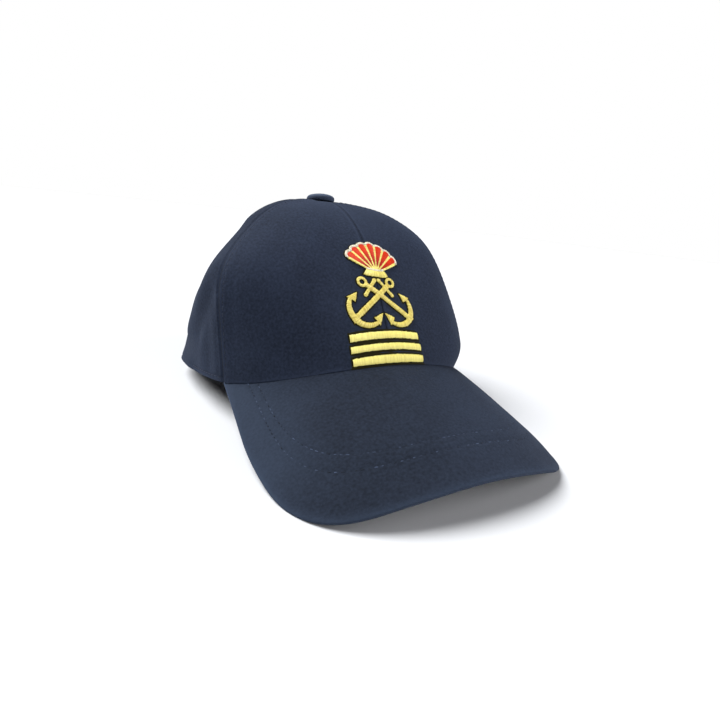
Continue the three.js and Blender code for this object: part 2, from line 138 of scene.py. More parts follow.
@dataclass(frozen=True)
class CapShape:
    """The outer face of the crown and the upper face of the peak, in millimetres with the hem level."""

    length: float = 193.0
    width: float = 168.8
    height: float = 104.0
    button_ahead: float = 3.5
    roundness: float = 2.32
    gore: float = 0.027
    front_seam: float = 61.4
    peak_end: float = 62.4
    peak_length: float = 75.0
    peak_rise: float = 30.0
    peak_steepening: float = 3.8
    peak_slope: float = 0.257
    peak_droop: float = 0.00113
    front_reach: float = 98.3
    side_reach: float = 68.5
    side_flare: float = 1.9
    gap: float = 0.3
    dent_free_top: float = 0.1
    dent_free_hem: float = 0.12
    # Stations every 60 degrees from the front: top reach, wall reach, bulge.
    profiles: tuple[tuple[float, float, float], ...] = (
        (0.66, 0.23, -0.07),
        (0.87, 0.48, 0.045),
        (0.59, 0.44, -0.04),
        (0.62, 0.50, 0.0),
    )
    # Swells and dents: side, side spread (degrees), down, down spread, push as a share of the width.
    dents: tuple[tuple[float, float, float, float, float], ...] = (
        (-64, 22, 0.613, 0.13, 0.0462),
        (58, 24, 0.92, 0.13, 0.0326),
        (45, 24, 0.63, 0.15, -0.0113),
        (-150, 45, 0.29, 0.15, 0.0124),
        (-100, 25, 0.52, 0.12, -0.0379),
    )

    @property
    def half_width(self) -> float:
        """Half of the head oval's width."""
        return self.width / 2

    @property
    def front_length(self) -> float:
        """From the button to the front of the hem, in plan."""
        return self.length / 2 - self.button_ahead

    @property
    def back_length(self) -> float:
        """From the button to the back of the hem, in plan."""
        return self.length / 2 + self.button_ahead

    @property
    def back_seam(self) -> float:
        """Where the side and back panels meet, in degrees from the front."""
        return (self.front_seam + 180.0) / 2

    def plan(self, side: Array) -> tuple[Array, Array]:
        """Head oval: x = B sgn(sin) |sin|^(2/n) and y = -A sgn(cos) |cos|^(2/n), longer behind."""
        power = 2.0 / self.roundness
        s, c = np.sin(side), np.cos(side)
        reach = np.where(c > 0, self.front_length, self.back_length)
        return self.half_width * np.sign(s) * np.abs(s) ** power, -reach * np.sign(c) * np.abs(c) ** power

    def peak_corner(self) -> tuple[float, float]:
        """Plan point where the peak ends at the hem."""
        x, y = self.plan(np.radians(self.peak_end))
        return float(x), float(y)

    def arch_rise(self, x: Array) -> Array:
        """Drop of the arched peak away from its middle: 30 s^2 + 3.8 s^4, s = x / half width."""
        share = x / self.half_width
        return self.peak_rise * share**2 + self.peak_steepening * share**4

    def peak_height(self, x: Array, y: Array) -> Array:
        """Height of the peak's upper face: arched across, sloping and drooping towards the front."""
        corner = self.peak_corner()
        out = corner[1] - y
        return (
            self.arch_rise(corner[0])
            - self.arch_rise(x)
            - self.peak_slope * out
            - self.peak_droop * out * out
        )

    def peak_normal(self, x: Array, y: Array) -> Array:
        """Upward normal of the peak's upper face, from its slopes over half a millimetre."""
        step = 0.5
        slope_x = (self.peak_height(x + step, y) - self.peak_height(x - step, y)) / (2 * step)
        slope_y = (self.peak_height(x, y + step) - self.peak_height(x, y - step)) / (2 * step)
        return unit(np.stack([-slope_x, -slope_y, np.ones_like(slope_x)], -1))

    def peak_outline(self, across: Array) -> Array:
        """Plan of the peak's outer edge: a cubic from the front centre to where the peak ends, mirrored."""
        corner = self.peak_corner()
        front = -self.front_length - self.peak_length
        controls = np.array(
            [
                (0.0, front),
                (self.front_reach, front),
                (corner[0] + self.side_flare, corner[1] - self.side_reach),
                corner,
            ]
        )
        points = bezier(controls, np.abs(across))
        points[..., 0] *= np.sign(across)
        return points

    def hem_height(self, side: Array) -> Array:
        """Height of the hem: on the peak in front, level behind it."""
        x, y = self.plan(side)
        return np.where(np.abs(side) <= math.radians(self.peak_end), self.peak_height(x, y), 0.0)

    def profile(self, side: Array) -> Array:
        """Top reach, wall reach and bulge at a side: cosine series through the four stations."""
        order = np.arange(4)
        basis = np.cos(np.outer(np.radians(60.0 * order), order))
        series = np.linalg.solve(basis, np.array(self.profiles))
        return np.cos(np.asarray(side)[..., None] * order) @ series

    def gore_share(self, side: Array, down: Array) -> Array:
        """Panels sink between seams: 1 - gore (1 - u^2) sqrt(sin(pi down)), u from -1 to 1 across one."""
        seams = np.radians([0.0, self.front_seam, self.back_seam, 180.0])
        away = np.abs(side)
        panel = np.clip(np.searchsorted(seams, away, side="right") - 1, 0, 2)
        across = (away - seams[panel]) / (seams[panel + 1] - seams[panel]) * 2 - 1
        sink = np.sqrt(np.clip(np.sin(np.pi * np.clip(down, 0, 1)), 0, None))
        return 1.0 - self.gore * (1 - across**2) * sink

    def dent_push(self, side: Array, down: Array) -> Array:
        """Sum of the bell-shaped swells and dents, none at the button and the hem."""
        push = np.zeros(np.broadcast(side, down).shape)
        for at, spread, level, level_spread, size in self.dents:
            turn = (side - math.radians(at) + np.pi) % (2 * np.pi) - np.pi
            bell = (turn / math.radians(spread)) ** 2 + ((down - level) / level_spread) ** 2
            push = push + size * self.width * np.exp(-0.5 * bell)
        near_top = np.minimum(1.0, down / self.dent_free_top)
        near_hem = 1.0 - np.clip((down - 1 + self.dent_free_hem) / self.dent_free_hem, 0, 1) ** 2
        return push * near_top * near_hem

    def point(self, side: Array, down: Array) -> Array:
        """Point of the crown's outer face: a cubic from button (down 0) to hem (down 1), with dents."""
        side, down = np.broadcast_arrays(np.asarray(side, float), np.asarray(down, float))
        plan_x, plan_y = self.plan(side)
        hem = self.hem_height(side)
        top, wall, bulge = np.moveaxis(self.profile(side), -1, 0)
        up = 1.0 - down
        near_top, near_hem, at_hem = 3 * down * up * up, 3 * down * down * up, down**3
        reach = (near_top * top + near_hem * (1 + bulge) + at_hem) * self.gore_share(side, down)
        height = (
            (up**3 + near_top) * self.height
            + near_hem * (hem + wall * (self.height - hem))
            + at_hem * hem
        )
        points = np.stack([reach * plan_x, reach * plan_y, height], -1)
        scale = np.array([self.half_width, self.length / 2, self.height]) ** 2
        outwards = unit(np.maximum(points, [-np.inf, -np.inf, 0.0]) / scale)
        return points + outwards * self.dent_push(side, down)[..., None]

    def normal(self, side: Array, down: Array) -> Array:
        """Outward normal of the crown, across two short steps over its face."""
        step = 0.004
        low = np.clip(down, step, 1 - step)
        across = self.point(side + step, low) - self.point(side - step, low)
        along = self.point(side, low + step) - self.point(side, low - step)
        return unit(np.cross(along, across))

    def side_at(self, x: Array, z: Array) -> tuple[Array, Array]:
        """Side and down of the back of the crown where it has a given x and height.

        Halves the range of down for the height, and then corrects the side by the reach found, in turns.

        Args:
            x: millimetres to the wearer's left.
            z: millimetres above the hem.

        Returns:
            The side in radians, from half pi to one and a half pi, and down.
        """
        power = self.roundness / 2
        turn = np.arcsin(np.clip(np.abs(x) / self.half_width, 0, 0.999) ** power)
        for _ in range(12):
            side = np.pi - turn * np.sign(x)
            wrapped = np.where(side > np.pi, side - 2 * np.pi, side)
            low, high = np.full_like(turn, 0.2), np.ones_like(turn)
            for _ in range(26):
                middle = (low + high) / 2
                above = self.point(wrapped, middle)[..., 2] > z
                low, high = np.where(above, middle, low), np.where(above, high, middle)
            found = self.point(wrapped, (low + high) / 2)
            plan_x, _ = self.plan(wrapped)
            reach = np.where(np.abs(plan_x) > 1e-6, found[..., 0] / np.where(plan_x == 0, 1, plan_x), 1.0)
            turn = np.arcsin(
                np.clip(np.abs(x) / np.maximum(reach, 0.2) / self.half_width, 0, 0.999) ** power
            )
        return wrapped, (low + high) / 2


@dataclass(frozen=True)
class RestPlace:
    """Turn and shift, in millimetres, that take the level cap to where it rests on the floor."""

    lean: float = math.radians(7.928894893720733)
    shift: tuple[float, float, float] = (-0.63349533, 35.47454052, 12.63553977)

    def to_row(self, points: Array) -> Array:
        """Points in metres in the row frame, leant back and levelled where they touch the floor."""
        c, s = math.cos(self.lean), math.sin(self.lean)
        turn = np.array([(1, 0, 0), (0, c, s), (0, -s, c)])
        placed = points @ turn.T + np.array(self.shift)
        placed[..., 2] = np.maximum(placed[..., 2], 0.0)
        return placed * MM


SHAPE = CapShape()
REST = RestPlace()


# Meshes


def grid_quads(rows: int, columns: int, first: int = 0, ring: bool = False) -> Array:
    """Four-cornered faces of a grid of points, numbered row by row.

    Args:
        rows: rows of points.
        columns: points in a row.
        first: number of the grid's first point.
        ring: True where each row closes on itself.
    """
    i, j = np.meshgrid(np.arange(rows - 1), np.arange(columns if ring else columns - 1), indexing="ij")
    k = (j + 1) % columns
    quads = np.stack([i * columns + j, i * columns + k, (i + 1) * columns + k, (i + 1) * columns + j], -1)
    return quads.reshape(-1, 4) + first


def shell_quads(rows: int, columns: int) -> Array:
    """Faces of a closed shell: an outer grid, an inner grid of the same size and the four rims."""
    half = rows * columns
    outer = grid_quads(rows, columns)
    rim = np.concatenate(
        [
            np.arange(columns),
            np.arange(1, rows) * columns + columns - 1,
            (rows - 1) * columns + np.arange(columns - 2, -1, -1),
            np.arange(rows - 2, 0, -1) * columns,
        ]
    )
    after = np.roll(rim, -1)
    walls = np.stack([rim, rim + half, after + half, after], -1)
    return np.concatenate([outer, outer[:, ::-1] + half, walls])


def ring_skin(points: Array) -> tuple[Array, list[Array]]:
    """Closed skin of a grid whose rows are rings, with a cap over the first and the last ring.

    Args:
        points: rings x points of a ring x 3.

    Returns:
        The points one to a row, and the faces as the side quads and the two caps.
    """
    rows, columns = points.shape[:2]
    flat = points.reshape(-1, 3)
    quads = grid_quads(rows, columns, ring=True)
    caps = [np.arange(columns)[None, :], (np.arange(columns) + (rows - 1) * columns)[None, ::-1]]
    if np.array_equal(outward(flat, quads), quads):
        return flat, [quads, *(c[:, ::-1] for c in caps)]
    return flat, [quads[:, ::-1], *caps]


def outward(points: Array, faces: Array) -> Array:
    """The faces of a closed mesh, turned round if the volume that they enclose comes out negative."""
    a, b, c = (points[faces[:, k]] for k in range(3))
    volume = np.einsum("ij,ij->", a, np.cross(b, c))
    if faces.shape[1] == 4:
        d = points[faces[:, 3]]
        volume += np.einsum("ij,ij->", a, np.cross(c, d))
    return faces if volume > 0 else faces[:, ::-1]


@dataclass
class Piece:
    """One finished mesh of the cap, in millimetres with the hem level.

    Attributes:
        name: the object's name.
        points: its points, one to a row.
        faces: groups of faces, each an array with as many columns as its faces have corners.
        finish: the material it wears.
        slot: the name of a material slot, not used.
        replaced: the CAD nodes that it stands for.
        cloth: each point's place on the cloth in millimetres, for the weave.
        tone: a number for each point. Cloth reads 0 to 1 as wear and painted highlight, and 0 to -1 as
        painted shade in creases and over the darker panels; thread reads 0 to 1 as dark to light.
    """

    name: str
    points: Array
    faces: list[Array]
    finish: bpy.types.Material
    slot: str
    replaced: tuple[str, ...] = ()
    cloth: Array | None = None
    tone: Array | None = None
    crease_degrees: float = 50.0

    def make(self) -> bpy.types.Object:
        """Puts the piece in the scene at its rest place, riding on the cap's body."""
        mesh = bpy.data.meshes.new(self.name)
        mesh.vertices.add(len(self.points))
        mesh.vertices.foreach_set("co", REST.to_row(self.points).astype(np.float32).ravel())
        corners = np.concatenate([f.ravel() for f in self.faces]).astype(np.int32)
        sizes = np.concatenate([np.full(len(f), f.shape[1]) for f in self.faces])
        mesh.loops.add(len(corners))
        mesh.loops.foreach_set("vertex_index", corners)
        mesh.polygons.add(len(sizes))
        starts = np.concatenate([[0], np.cumsum(sizes)[:-1]]).astype(np.int32)
        mesh.polygons.foreach_set("loop_start", starts)
        mesh.update(calc_edges=True)
        if self.cloth is not None:
            layer = mesh.uv_layers.new(name="cloth")
            layer.data.foreach_set("uv", (self.cloth[corners] / UV_MM).astype(np.float32).ravel())
        if self.tone is not None:
            tone = mesh.attributes.new("tone", "FLOAT", "POINT")
            tone.data.foreach_set("value", self.tone.astype(np.float32))
        mesh.polygons.foreach_set("use_smooth", np.ones(len(sizes), bool))
        mesh.set_sharp_from_angle(angle=math.radians(self.crease_degrees))
        mesh.validate()
        mesh.materials.append(self.finish)
        piece = bpy.data.objects.new(self.name, mesh)
        bpy.context.scene.collection.objects.link(piece)
        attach(piece, BODY)
        if self.replaced:
            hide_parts(*self.replaced)
        log.info("%s: %d points, %d faces", self.name, len(self.points), len(sizes))
        return piece


def thread_tubes(
    paths: Array, normals: Array, radii: Array, flat: float, sides: int
) -> tuple[Array, list[Array]]:
    """Many short round threads at once.

    Each ring of a thread is p + r (cos a * across + flat * sin a * normal), across being
    normal to the path.

    Args:
        paths: threads x rings x 3, the line of each thread.
        normals: the same size, the surface's normal under each ring.
        radii: the radius of each ring, threads x rings or just rings.
        flat: height of a thread's section as a share of its width.
        sides: points round a ring.

    Returns:
        The points, and the faces as a group of side quads and a group of end caps.
    """
    count, rings, _ = paths.shape
    radii = np.broadcast_to(radii, (count, rings))
    tangents = unit(np.gradient(paths, axis=1))
    across = unit(np.cross(tangents, normals))
    up = np.cross(across, tangents)
    turn = np.arange(sides) * (2 * np.pi / sides) + np.pi / 2
    ring = np.cos(turn)[:, None] * across[:, :, None] + flat * np.sin(turn)[:, None] * up[:, :, None]
    points = paths[:, :, None] + radii[..., None, None] * ring
    one = grid_quads(rings, sides, ring=True)
    each = (np.arange(count) * rings * sides)[:, None, None]
    quads = (one[None] + each).reshape(-1, 4)
    cap = np.arange(sides)[None, :]
    starts = cap + each[:, 0]
    ends = cap[:, ::-1] + each[:, 0] + (rings - 1) * sides
    flat_points = points.reshape(-1, 3)
    sample = outward(flat_points[: rings * sides], one)
    if np.array_equal(sample, one):
        return flat_points, [quads, np.concatenate([starts[:, ::-1], ends[:, ::-1]])]
    return flat_points, [quads[:, ::-1], np.concatenate([starts, ends])]


# Finishes


def linear_colour(code: str) -> tuple[float, float, float, float]:
    """An sRGB hex colour as linear RGBA."""
    parts = [int(code[k : k + 2], 16) / 255 for k in (0, 2, 4)]
    linear = [v / 12.92 if v <= 0.04045 else ((v + 0.055) / 1.055) ** 2.4 for v in parts]
    return (*linear, 1.0)


def add_node(
    tree: bpy.types.NodeTree,
    kind: str,
    settings: dict[str, object] | None = None,
    inputs: dict[str | int, object] | None = None,
) -> bpy.types.Node:
    """Adds a shader node.

    Args:
        tree: the material's or the world's node tree.
        kind: the node's type name without the ShaderNode prefix.
        settings: its properties.
        inputs: its sockets by name or number, each a value or another node's output socket.

    Returns:
        The node.
    """
    node = tree.nodes.new("ShaderNode" + kind)
    for name, value in (settings or {}).items():
        setattr(node, name, value)
    for name, value in (inputs or {}).items():
        socket = node.inputs[name]
        if isinstance(value, bpy.types.NodeSocket):
            tree.links.new(value, socket)
        else:
            socket.default_value = value
    return node


PAINTED_CREASE_SHADE = "05070b"  # painted shade: the colour the cloth is darkened towards in creases and where it turns in


@dataclass(frozen=True)
class TwillFinish:
    """Dyed cotton twill, woven and matt. The eye sees a soft bloom of fibre ends at grazing angles."""

    name: str
    dark: str
    light: str
    # Colour of wear and painted highlight, mixed in where the tone is above zero.
    wear_and_highlight: str
    twill_pitch_mm: float = 0.6
    roughness: float = 0.88
    sheen: float = 0.05
    sheen_tint: str = "8fa4cf"
    relief_mm: float = 0.05

    def make(self) -> bpy.types.Material:
        """Builds the material."""
        material = bpy.data.materials.new(self.name)
        material.use_nodes = True
        tree = material.node_tree
        tree.nodes.clear()
        place = add_node(tree, "TexCoord")
        cloth, solid = place.outputs["UV"], place.outputs["Object"]
        # Sine bands along the diagonal of the cloth, one period each pitch.
        bands = 2 * math.pi / 10 * UV_MM / self.twill_pitch_mm
        twill = add_node(
            tree,
            "TexWave",
            {"wave_type": "BANDS", "bands_direction": "DIAGONAL"},
            {"Vector": cloth, "Scale": bands, "Distortion": 1.2, "Detail": 2.0, "Detail Scale": 1.5},
        )
        # Slubs of yarn about 1.3 mm long and the dye's slow changes over about 35 mm.
        yarn = add_node(tree, "TexNoise", None, {"Vector": solid, "Scale": 1 / (1.3 * MM), "Detail": 3.0})
        dye = add_node(tree, "TexNoise", None, {"Vector": solid, "Scale": 1 / (35 * MM), "Detail": 2.0})
        speckle = add_node(
            tree, "Math", {"operation": "MULTIPLY_ADD"}, {0: yarn.outputs["Fac"], 1: 0.8, 2: -0.1}
        )
        mixed = add_node(
            tree,
            "Math",
            {"operation": "MULTIPLY_ADD"},
            {0: twill.outputs["Fac"], 1: 0.16, 2: speckle.outputs[0]},
        )
        tone = add_node(
            tree,
            "Math",
            {"operation": "MULTIPLY_ADD"},
            {0: dye.outputs["Fac"], 1: 0.45, 2: mixed.outputs[0]},
        )
        spread = add_node(
            tree, "MapRange", None, {"Value": tone.outputs[0], "From Min": 0.3, "From Max": 0.85}
        )
        base = add_node(
            tree,
            "Mix",
            {"data_type": "RGBA"},
            {0: spread.outputs[0], 6: linear_colour(self.dark), 7: linear_colour(self.light)},
        )
        # The tone attribute mixes in the wear and painted highlight colour above zero, and the painted
        # crease shade below zero.
        wear_and_painted_light = add_node(tree, "Attribute", {"attribute_name": "tone"})
        colour = add_node(
            tree,
            "Mix",
            {"data_type": "RGBA"},
            {0: wear_and_painted_light.outputs["Fac"], 6: base.outputs[2], 7: linear_colour(self.wear_and_highlight)},
        )
        crease_shade_share = add_node(
            tree, "MapRange", None, {"Value": wear_and_painted_light.outputs["Fac"], "From Min": 0.0, "From Max": -1.0}
        )
        shaded = add_node(
            tree,
            "Mix",
            {"data_type": "RGBA"},
            {0: crease_shade_share.outputs[0], 6: colour.outputs[2], 7: linear_colour(PAINTED_CREASE_SHADE)},
        )
        height = add_node(
            tree,
            "Math",
            {"operation": "MULTIPLY_ADD"},
            {0: yarn.outputs["Fac"], 1: 1.2, 2: twill.outputs["Fac"]},
        )
        bump = add_node(
            tree,
            "Bump",
            None,
            {"Height": height.outputs[0], "Strength": 0.5, "Distance": self.relief_mm * MM},
        )
        shader = add_node(
            tree,
            "BsdfPrincipled",
            None,
            {
                "Base Color": shaded.outputs[2],
                "Roughness": self.roughness,
                "Specular IOR Level": 0.1,
                "Sheen Weight": self.sheen,
                "Sheen Roughness": 0.55,
                "Sheen Tint": linear_colour(self.sheen_tint),
                "Normal": bump.outputs["Normal"],
            },
        )
        add_node(tree, "OutputMaterial", None, {"Surface": shader.outputs["BSDF"]})
        return material


@dataclass(frozen=True)
class ThreadFinish:
    """Twisted rayon embroidery or polyester sewing thread, drawn smooth, so that it has a silky gloss."""

    name: str
    dark: str
    light: str
    roughness: float = 0.42
    sheen: float = 0.1
    specular: float = 0.5
    ply_mm: float = 0.35

    def make(self) -> bpy.types.Material:
        """Builds the material, its tone going from dark to light from thread to thread."""
        material = bpy.data.materials.new(self.name)
        material.use_nodes = True
        tree = material.node_tree
        tree.nodes.clear()
        place = add_node(tree, "TexCoord")
        ply = add_node(
            tree,
            "TexNoise",
            None,
            {"Vector": place.outputs["Object"], "Scale": 1 / (self.ply_mm * MM), "Detail": 2.0},
        )
        tone = add_node(tree, "Attribute", {"attribute_name": "tone"})
        share = add_node(
            tree,
            "Math",
            {"operation": "MULTIPLY_ADD"},
            {0: ply.outputs["Fac"], 1: 0.35, 2: tone.outputs["Fac"]},
        )
        shift = add_node(
            tree, "MapRange", None, {"Value": share.outputs[0], "From Min": 0.1, "From Max": 1.2}
        )
        colour = add_node(
            tree,
            "Mix",
            {"data_type": "RGBA"},
            {0: shift.outputs[0], 6: linear_colour(self.dark), 7: linear_colour(self.light)},
        )
        bump = add_node(
            tree, "Bump", None, {"Height": ply.outputs["Fac"], "Strength": 0.3, "Distance": 0.03 * MM}
        )
        shader = add_node(
            tree,
            "BsdfPrincipled",
            None,
            {
                "Base Color": colour.outputs[2],
                "Roughness": self.roughness,
                "Specular IOR Level": self.specular,
                "Sheen Weight": self.sheen,
                "Normal": bump.outputs["Normal"],
            },
        )
        add_node(tree, "OutputMaterial", None, {"Surface": shader.outputs["BSDF"]})
        return material


@dataclass(frozen=True)
class FloorFinish:
    """Plain pale painted board."""

    name: str = "painted_floor"
    colour: str = "c6c7c9"

    def make(self) -> bpy.types.Material:
        """Builds the material."""
        material = bpy.data.materials.new(self.name)
        material.use_nodes = True
        tree = material.node_tree
        tree.nodes.clear()
        shader = add_node(
            tree, "BsdfPrincipled", None, {"Base Color": linear_colour(self.colour), "Roughness": 0.9}
        )
        add_node(tree, "OutputMaterial", None, {"Surface": shader.outputs["BSDF"]})
        return material


# Every finish of the cap by what wears it.
FINISHES: dict[str, TwillFinish | ThreadFinish] = {
    "panels": TwillFinish("navy_cotton_twill", "121722", "262e3f", "2d3547"),
    # The peak is the panels' twill made darker as painted shade; its third colour is for wear and painted
    # highlight.
    "peak": TwillFinish("navy_peak_twill_painted_shade", "0e121a", "212835", "364153"),
    "button": TwillFinish("navy_button_twill", "20273a", "3a4354", "566274"),
    "strap": TwillFinish("navy_strap_twill", "121722", "262e3f", "2d3547"),
    "seam_thread": ThreadFinish("navy_sewing_thread", "1b202e", "2c3346", 0.6, 0.02, 0.2),
    "peak_thread": ThreadFinish("blue_sewing_thread", "0e1219", "3b455a", 0.75, 0.02, 0.08),
    # Painted shade: a dark sheet under and round the embroidery, standing for the shadow at its edges.
    "underlay": ThreadFinish("dark_underlay_thread", "171607", "262308", 0.8, 0.0, 0.08),
    "gold": ThreadFinish("gold_rayon_thread", "b79a26", "f8ee86"),
    "red": ThreadFinish("red_rayon_thread", "8c0a16", "e03c0c", 0.5, 0.0, 0.2),
    "pale": ThreadFinish("pale_rayon_thread", "a29c86", "f1e8d0"),
}


# Crown


class PanelKind(Enum):
    """The three pairs of crown panels."""

    FRONT = "front"
    SIDE = "side"
    BACK = "back"


@dataclass(frozen=True)
class ArchCut:
    """The arched opening at the back: straight sides and a half ellipse on top, seen from behind."""

    width: float = 64.0
    height: float = 46.0
    side_height: float = 12.0

    def outline(self, count: int, offset: float = 0.0) -> Array:
        """Half outline in x and height from the hem to the top centre, moved outwards by offset.

        The straight side x = half width, then x = (half + offset) cos a, z = side + (rise + offset) sin a.
        """
        half = self.width / 2 + offset
        rise = self.height - self.side_height + offset
        turn = np.linspace(0, np.pi / 2, 200)
        curve = np.stack([half * np.cos(turn), self.side_height + rise * np.sin(turn)], -1)
        return even_points(np.concatenate([[(half, 0.0)], curve]), count)


ARCH = ArchCut()


@dataclass(frozen=True)
class SeamLook:
    """How cloth lies on one side of a seam of the crown, in millimetres.

    Attributes:
        turn_radius: radius of the edge where the cloth turns in.
        turn_depth: how deep it turns in.
        proud: how far it stands over the other panel, or below it if negative.
        proud_reach: where that has faded out.
        allowance_rise: rise over the seam allowance that lies behind the cloth.
        stitched: whether a row of topstitching runs along this side.
    """

    turn_radius: float = 1.0
    turn_depth: float = 0.9
    proud: float = 0.0
    proud_reach: float = 10.0
    allowance_rise: float = 0.25
    stitched: bool = True

    def lift(self, distance: Array) -> Array:
        """Rise and fall of the cloth at a distance from the seam."""
        rise = self.proud * (1 - smooth_step(distance, 1.5, self.proud_reach))
        rise = rise - self.turn_depth * round_over(distance, self.turn_radius)
        rise = rise + self.allowance_rise * (1 - smooth_step(distance, ALLOWANCE - 1.2, ALLOWANCE + 1.2))
        if self.stitched:
            rise = rise - STITCH_SINK * bump_row(distance, STITCH_FROM_SEAM, STITCH_HALF_WIDTH)
        return rise


FRONT_CLOTH = 2.0  # stiffened front panels
SIDE_CLOTH = 1.6  # side and back panels
ALLOWANCE = 6.2
STITCH_FROM_SEAM = 2.6
STITCH_SINK = 0.2
STITCH_HALF_WIDTH = 0.55
HEM_RADIUS = 0.8
HEM_DEPTH = 0.5

# The looks of each kind of panel at its front seam and at its back seam.
CENTRE_FRONT = SeamLook(0.6, 0.8, allowance_rise=0.05, stitched=False)
SEAM_LOOKS: dict[str, tuple[SeamLook, SeamLook]] = {
    "front": (CENTRE_FRONT, SeamLook(0.9, 1.1, 0.6, 9.0, 0.05)),
    "side": (SeamLook(0.5, 0.6, -0.6, 3.0, 0.0, False), SeamLook(0.9, 1.5, 0.25, 9.0, 0.2)),
    "back": (SeamLook(0.9, 1.1, -0.25, 5.0, 0.0, False), SeamLook(0.9, 1.2, 0.0, 9.0, 0.25)),
}


# Painted shade over the whole of each kind of panel, darker on the side and back panels.
PANEL_PAINTED_SHADE = {"front": 0.0, "side": 0.12, "back": 0.06}
# Painted shade where the cloth turns in at the seams: how dark, and how many millimetres that reaches,
# at the front seam and at the back seam of each kind of panel.
CREASE_PAINTED_SHADE = {
    "front": ((0.25, 1.1), (1.0, 0.8)),
    "side": ((1.0, 1.5), (0.6, 1.0)),
    "back": ((0.6, 1.2), (0.4, 1.0)),
}


@dataclass(frozen=True)
class SoftFold:
    """A soft ridge or crease across a panel, from one (side, down) to another."""

    start: tuple[float, float]
    end: tuple[float, float]
    half_width: float
    rise: float

    def lift(self, side: Array, down: Array) -> Array:
        """Rise along the fold's line, bell-shaped across it and fading beyond its ends.

        Sides count 1.35 mm a degree and down 140 mm, so that the bell is about as wide both ways.
        """
        scale = np.array([1.35, 140.0])
        a, b = np.array(self.start) * scale, np.array(self.end) * scale
        at = np.stack([np.degrees(side), down], -1) * scale
        run = b - a
        share = ((at - a) @ run) / (run @ run)
        away = np.linalg.norm(at - (a + np.clip(share, 0, 1)[..., None] * run), axis=-1)
        beyond = np.exp(-((np.clip(np.abs(share - 0.5) - 0.4, 0, None) / 0.35) ** 2))
        return self.rise * np.exp(-((away / self.half_width) ** 2)) * beyond


FOLDS: tuple[SoftFold, ...] = (
    # The wearer's right side panel: a fold from below the front seam's bend down towards the back.
    SoftFold((-66, 0.61), (-92, 0.86), 5.5, 1.3),
    SoftFold((-67, 0.71), (-80, 0.86), 5.0, -1.1),
    SoftFold((-65.5, 0.80), (-66.5, 0.97), 2.4, 0.35),
    SoftFold((-70, 0.80), (-71.5, 0.97), 3.0, -0.3),
    SoftFold((-76, 0.84), (-78, 0.98), 3.6, 0.35),
    # Its hem flares towards the back.
    SoftFold((-90, 1.0), (-104, 1.0), 7.0, 1.7),
    # Its upper end stands up behind the seam.
    SoftFold((-69, 0.12), (-70, 0.36), 8.0, 1.6),
    # The left side panel, unseen in the photograph, with softer ones of its own.
    SoftFold((70, 0.55), (96, 0.80), 6.5, 0.8),
    SoftFold((72, 0.70), (88, 0.90), 6.0, -0.6),
    # The back panels sag a little above the opening's shoulders.
    SoftFold((150, 0.45), (132, 0.75), 8.0, 0.6),
    SoftFold((-148, 0.48), (-134, 0.78), 8.0, 0.55),
)


def cloth_waves(points: Array) -> Array:
    """Slow unevenness of the cloth, a sum of sine waves of 25 to 70 mm in seeded directions."""
    rng = np.random.default_rng(SEED)
    total = np.zeros(points.shape[:-1])
    for length, height in ((70, 0.22), (52, 0.2), (41, 0.16), (33, 0.12), (27, 0.08), (25, 0.07)):
        way = unit(rng.normal(size=3))
        total = total + height * np.sin(points @ way * (2 * np.pi / length) + rng.uniform(0, 2 * np.pi))
    return total


@dataclass
class PanelGrid:
    """Where a panel's points lie: side, down and distances in millimetres from its seams and hem."""

    side: Array
    down: Array
    first: Array
    last: Array
    hem: Array
    shrink: Array
    point: Array
    normal: Array


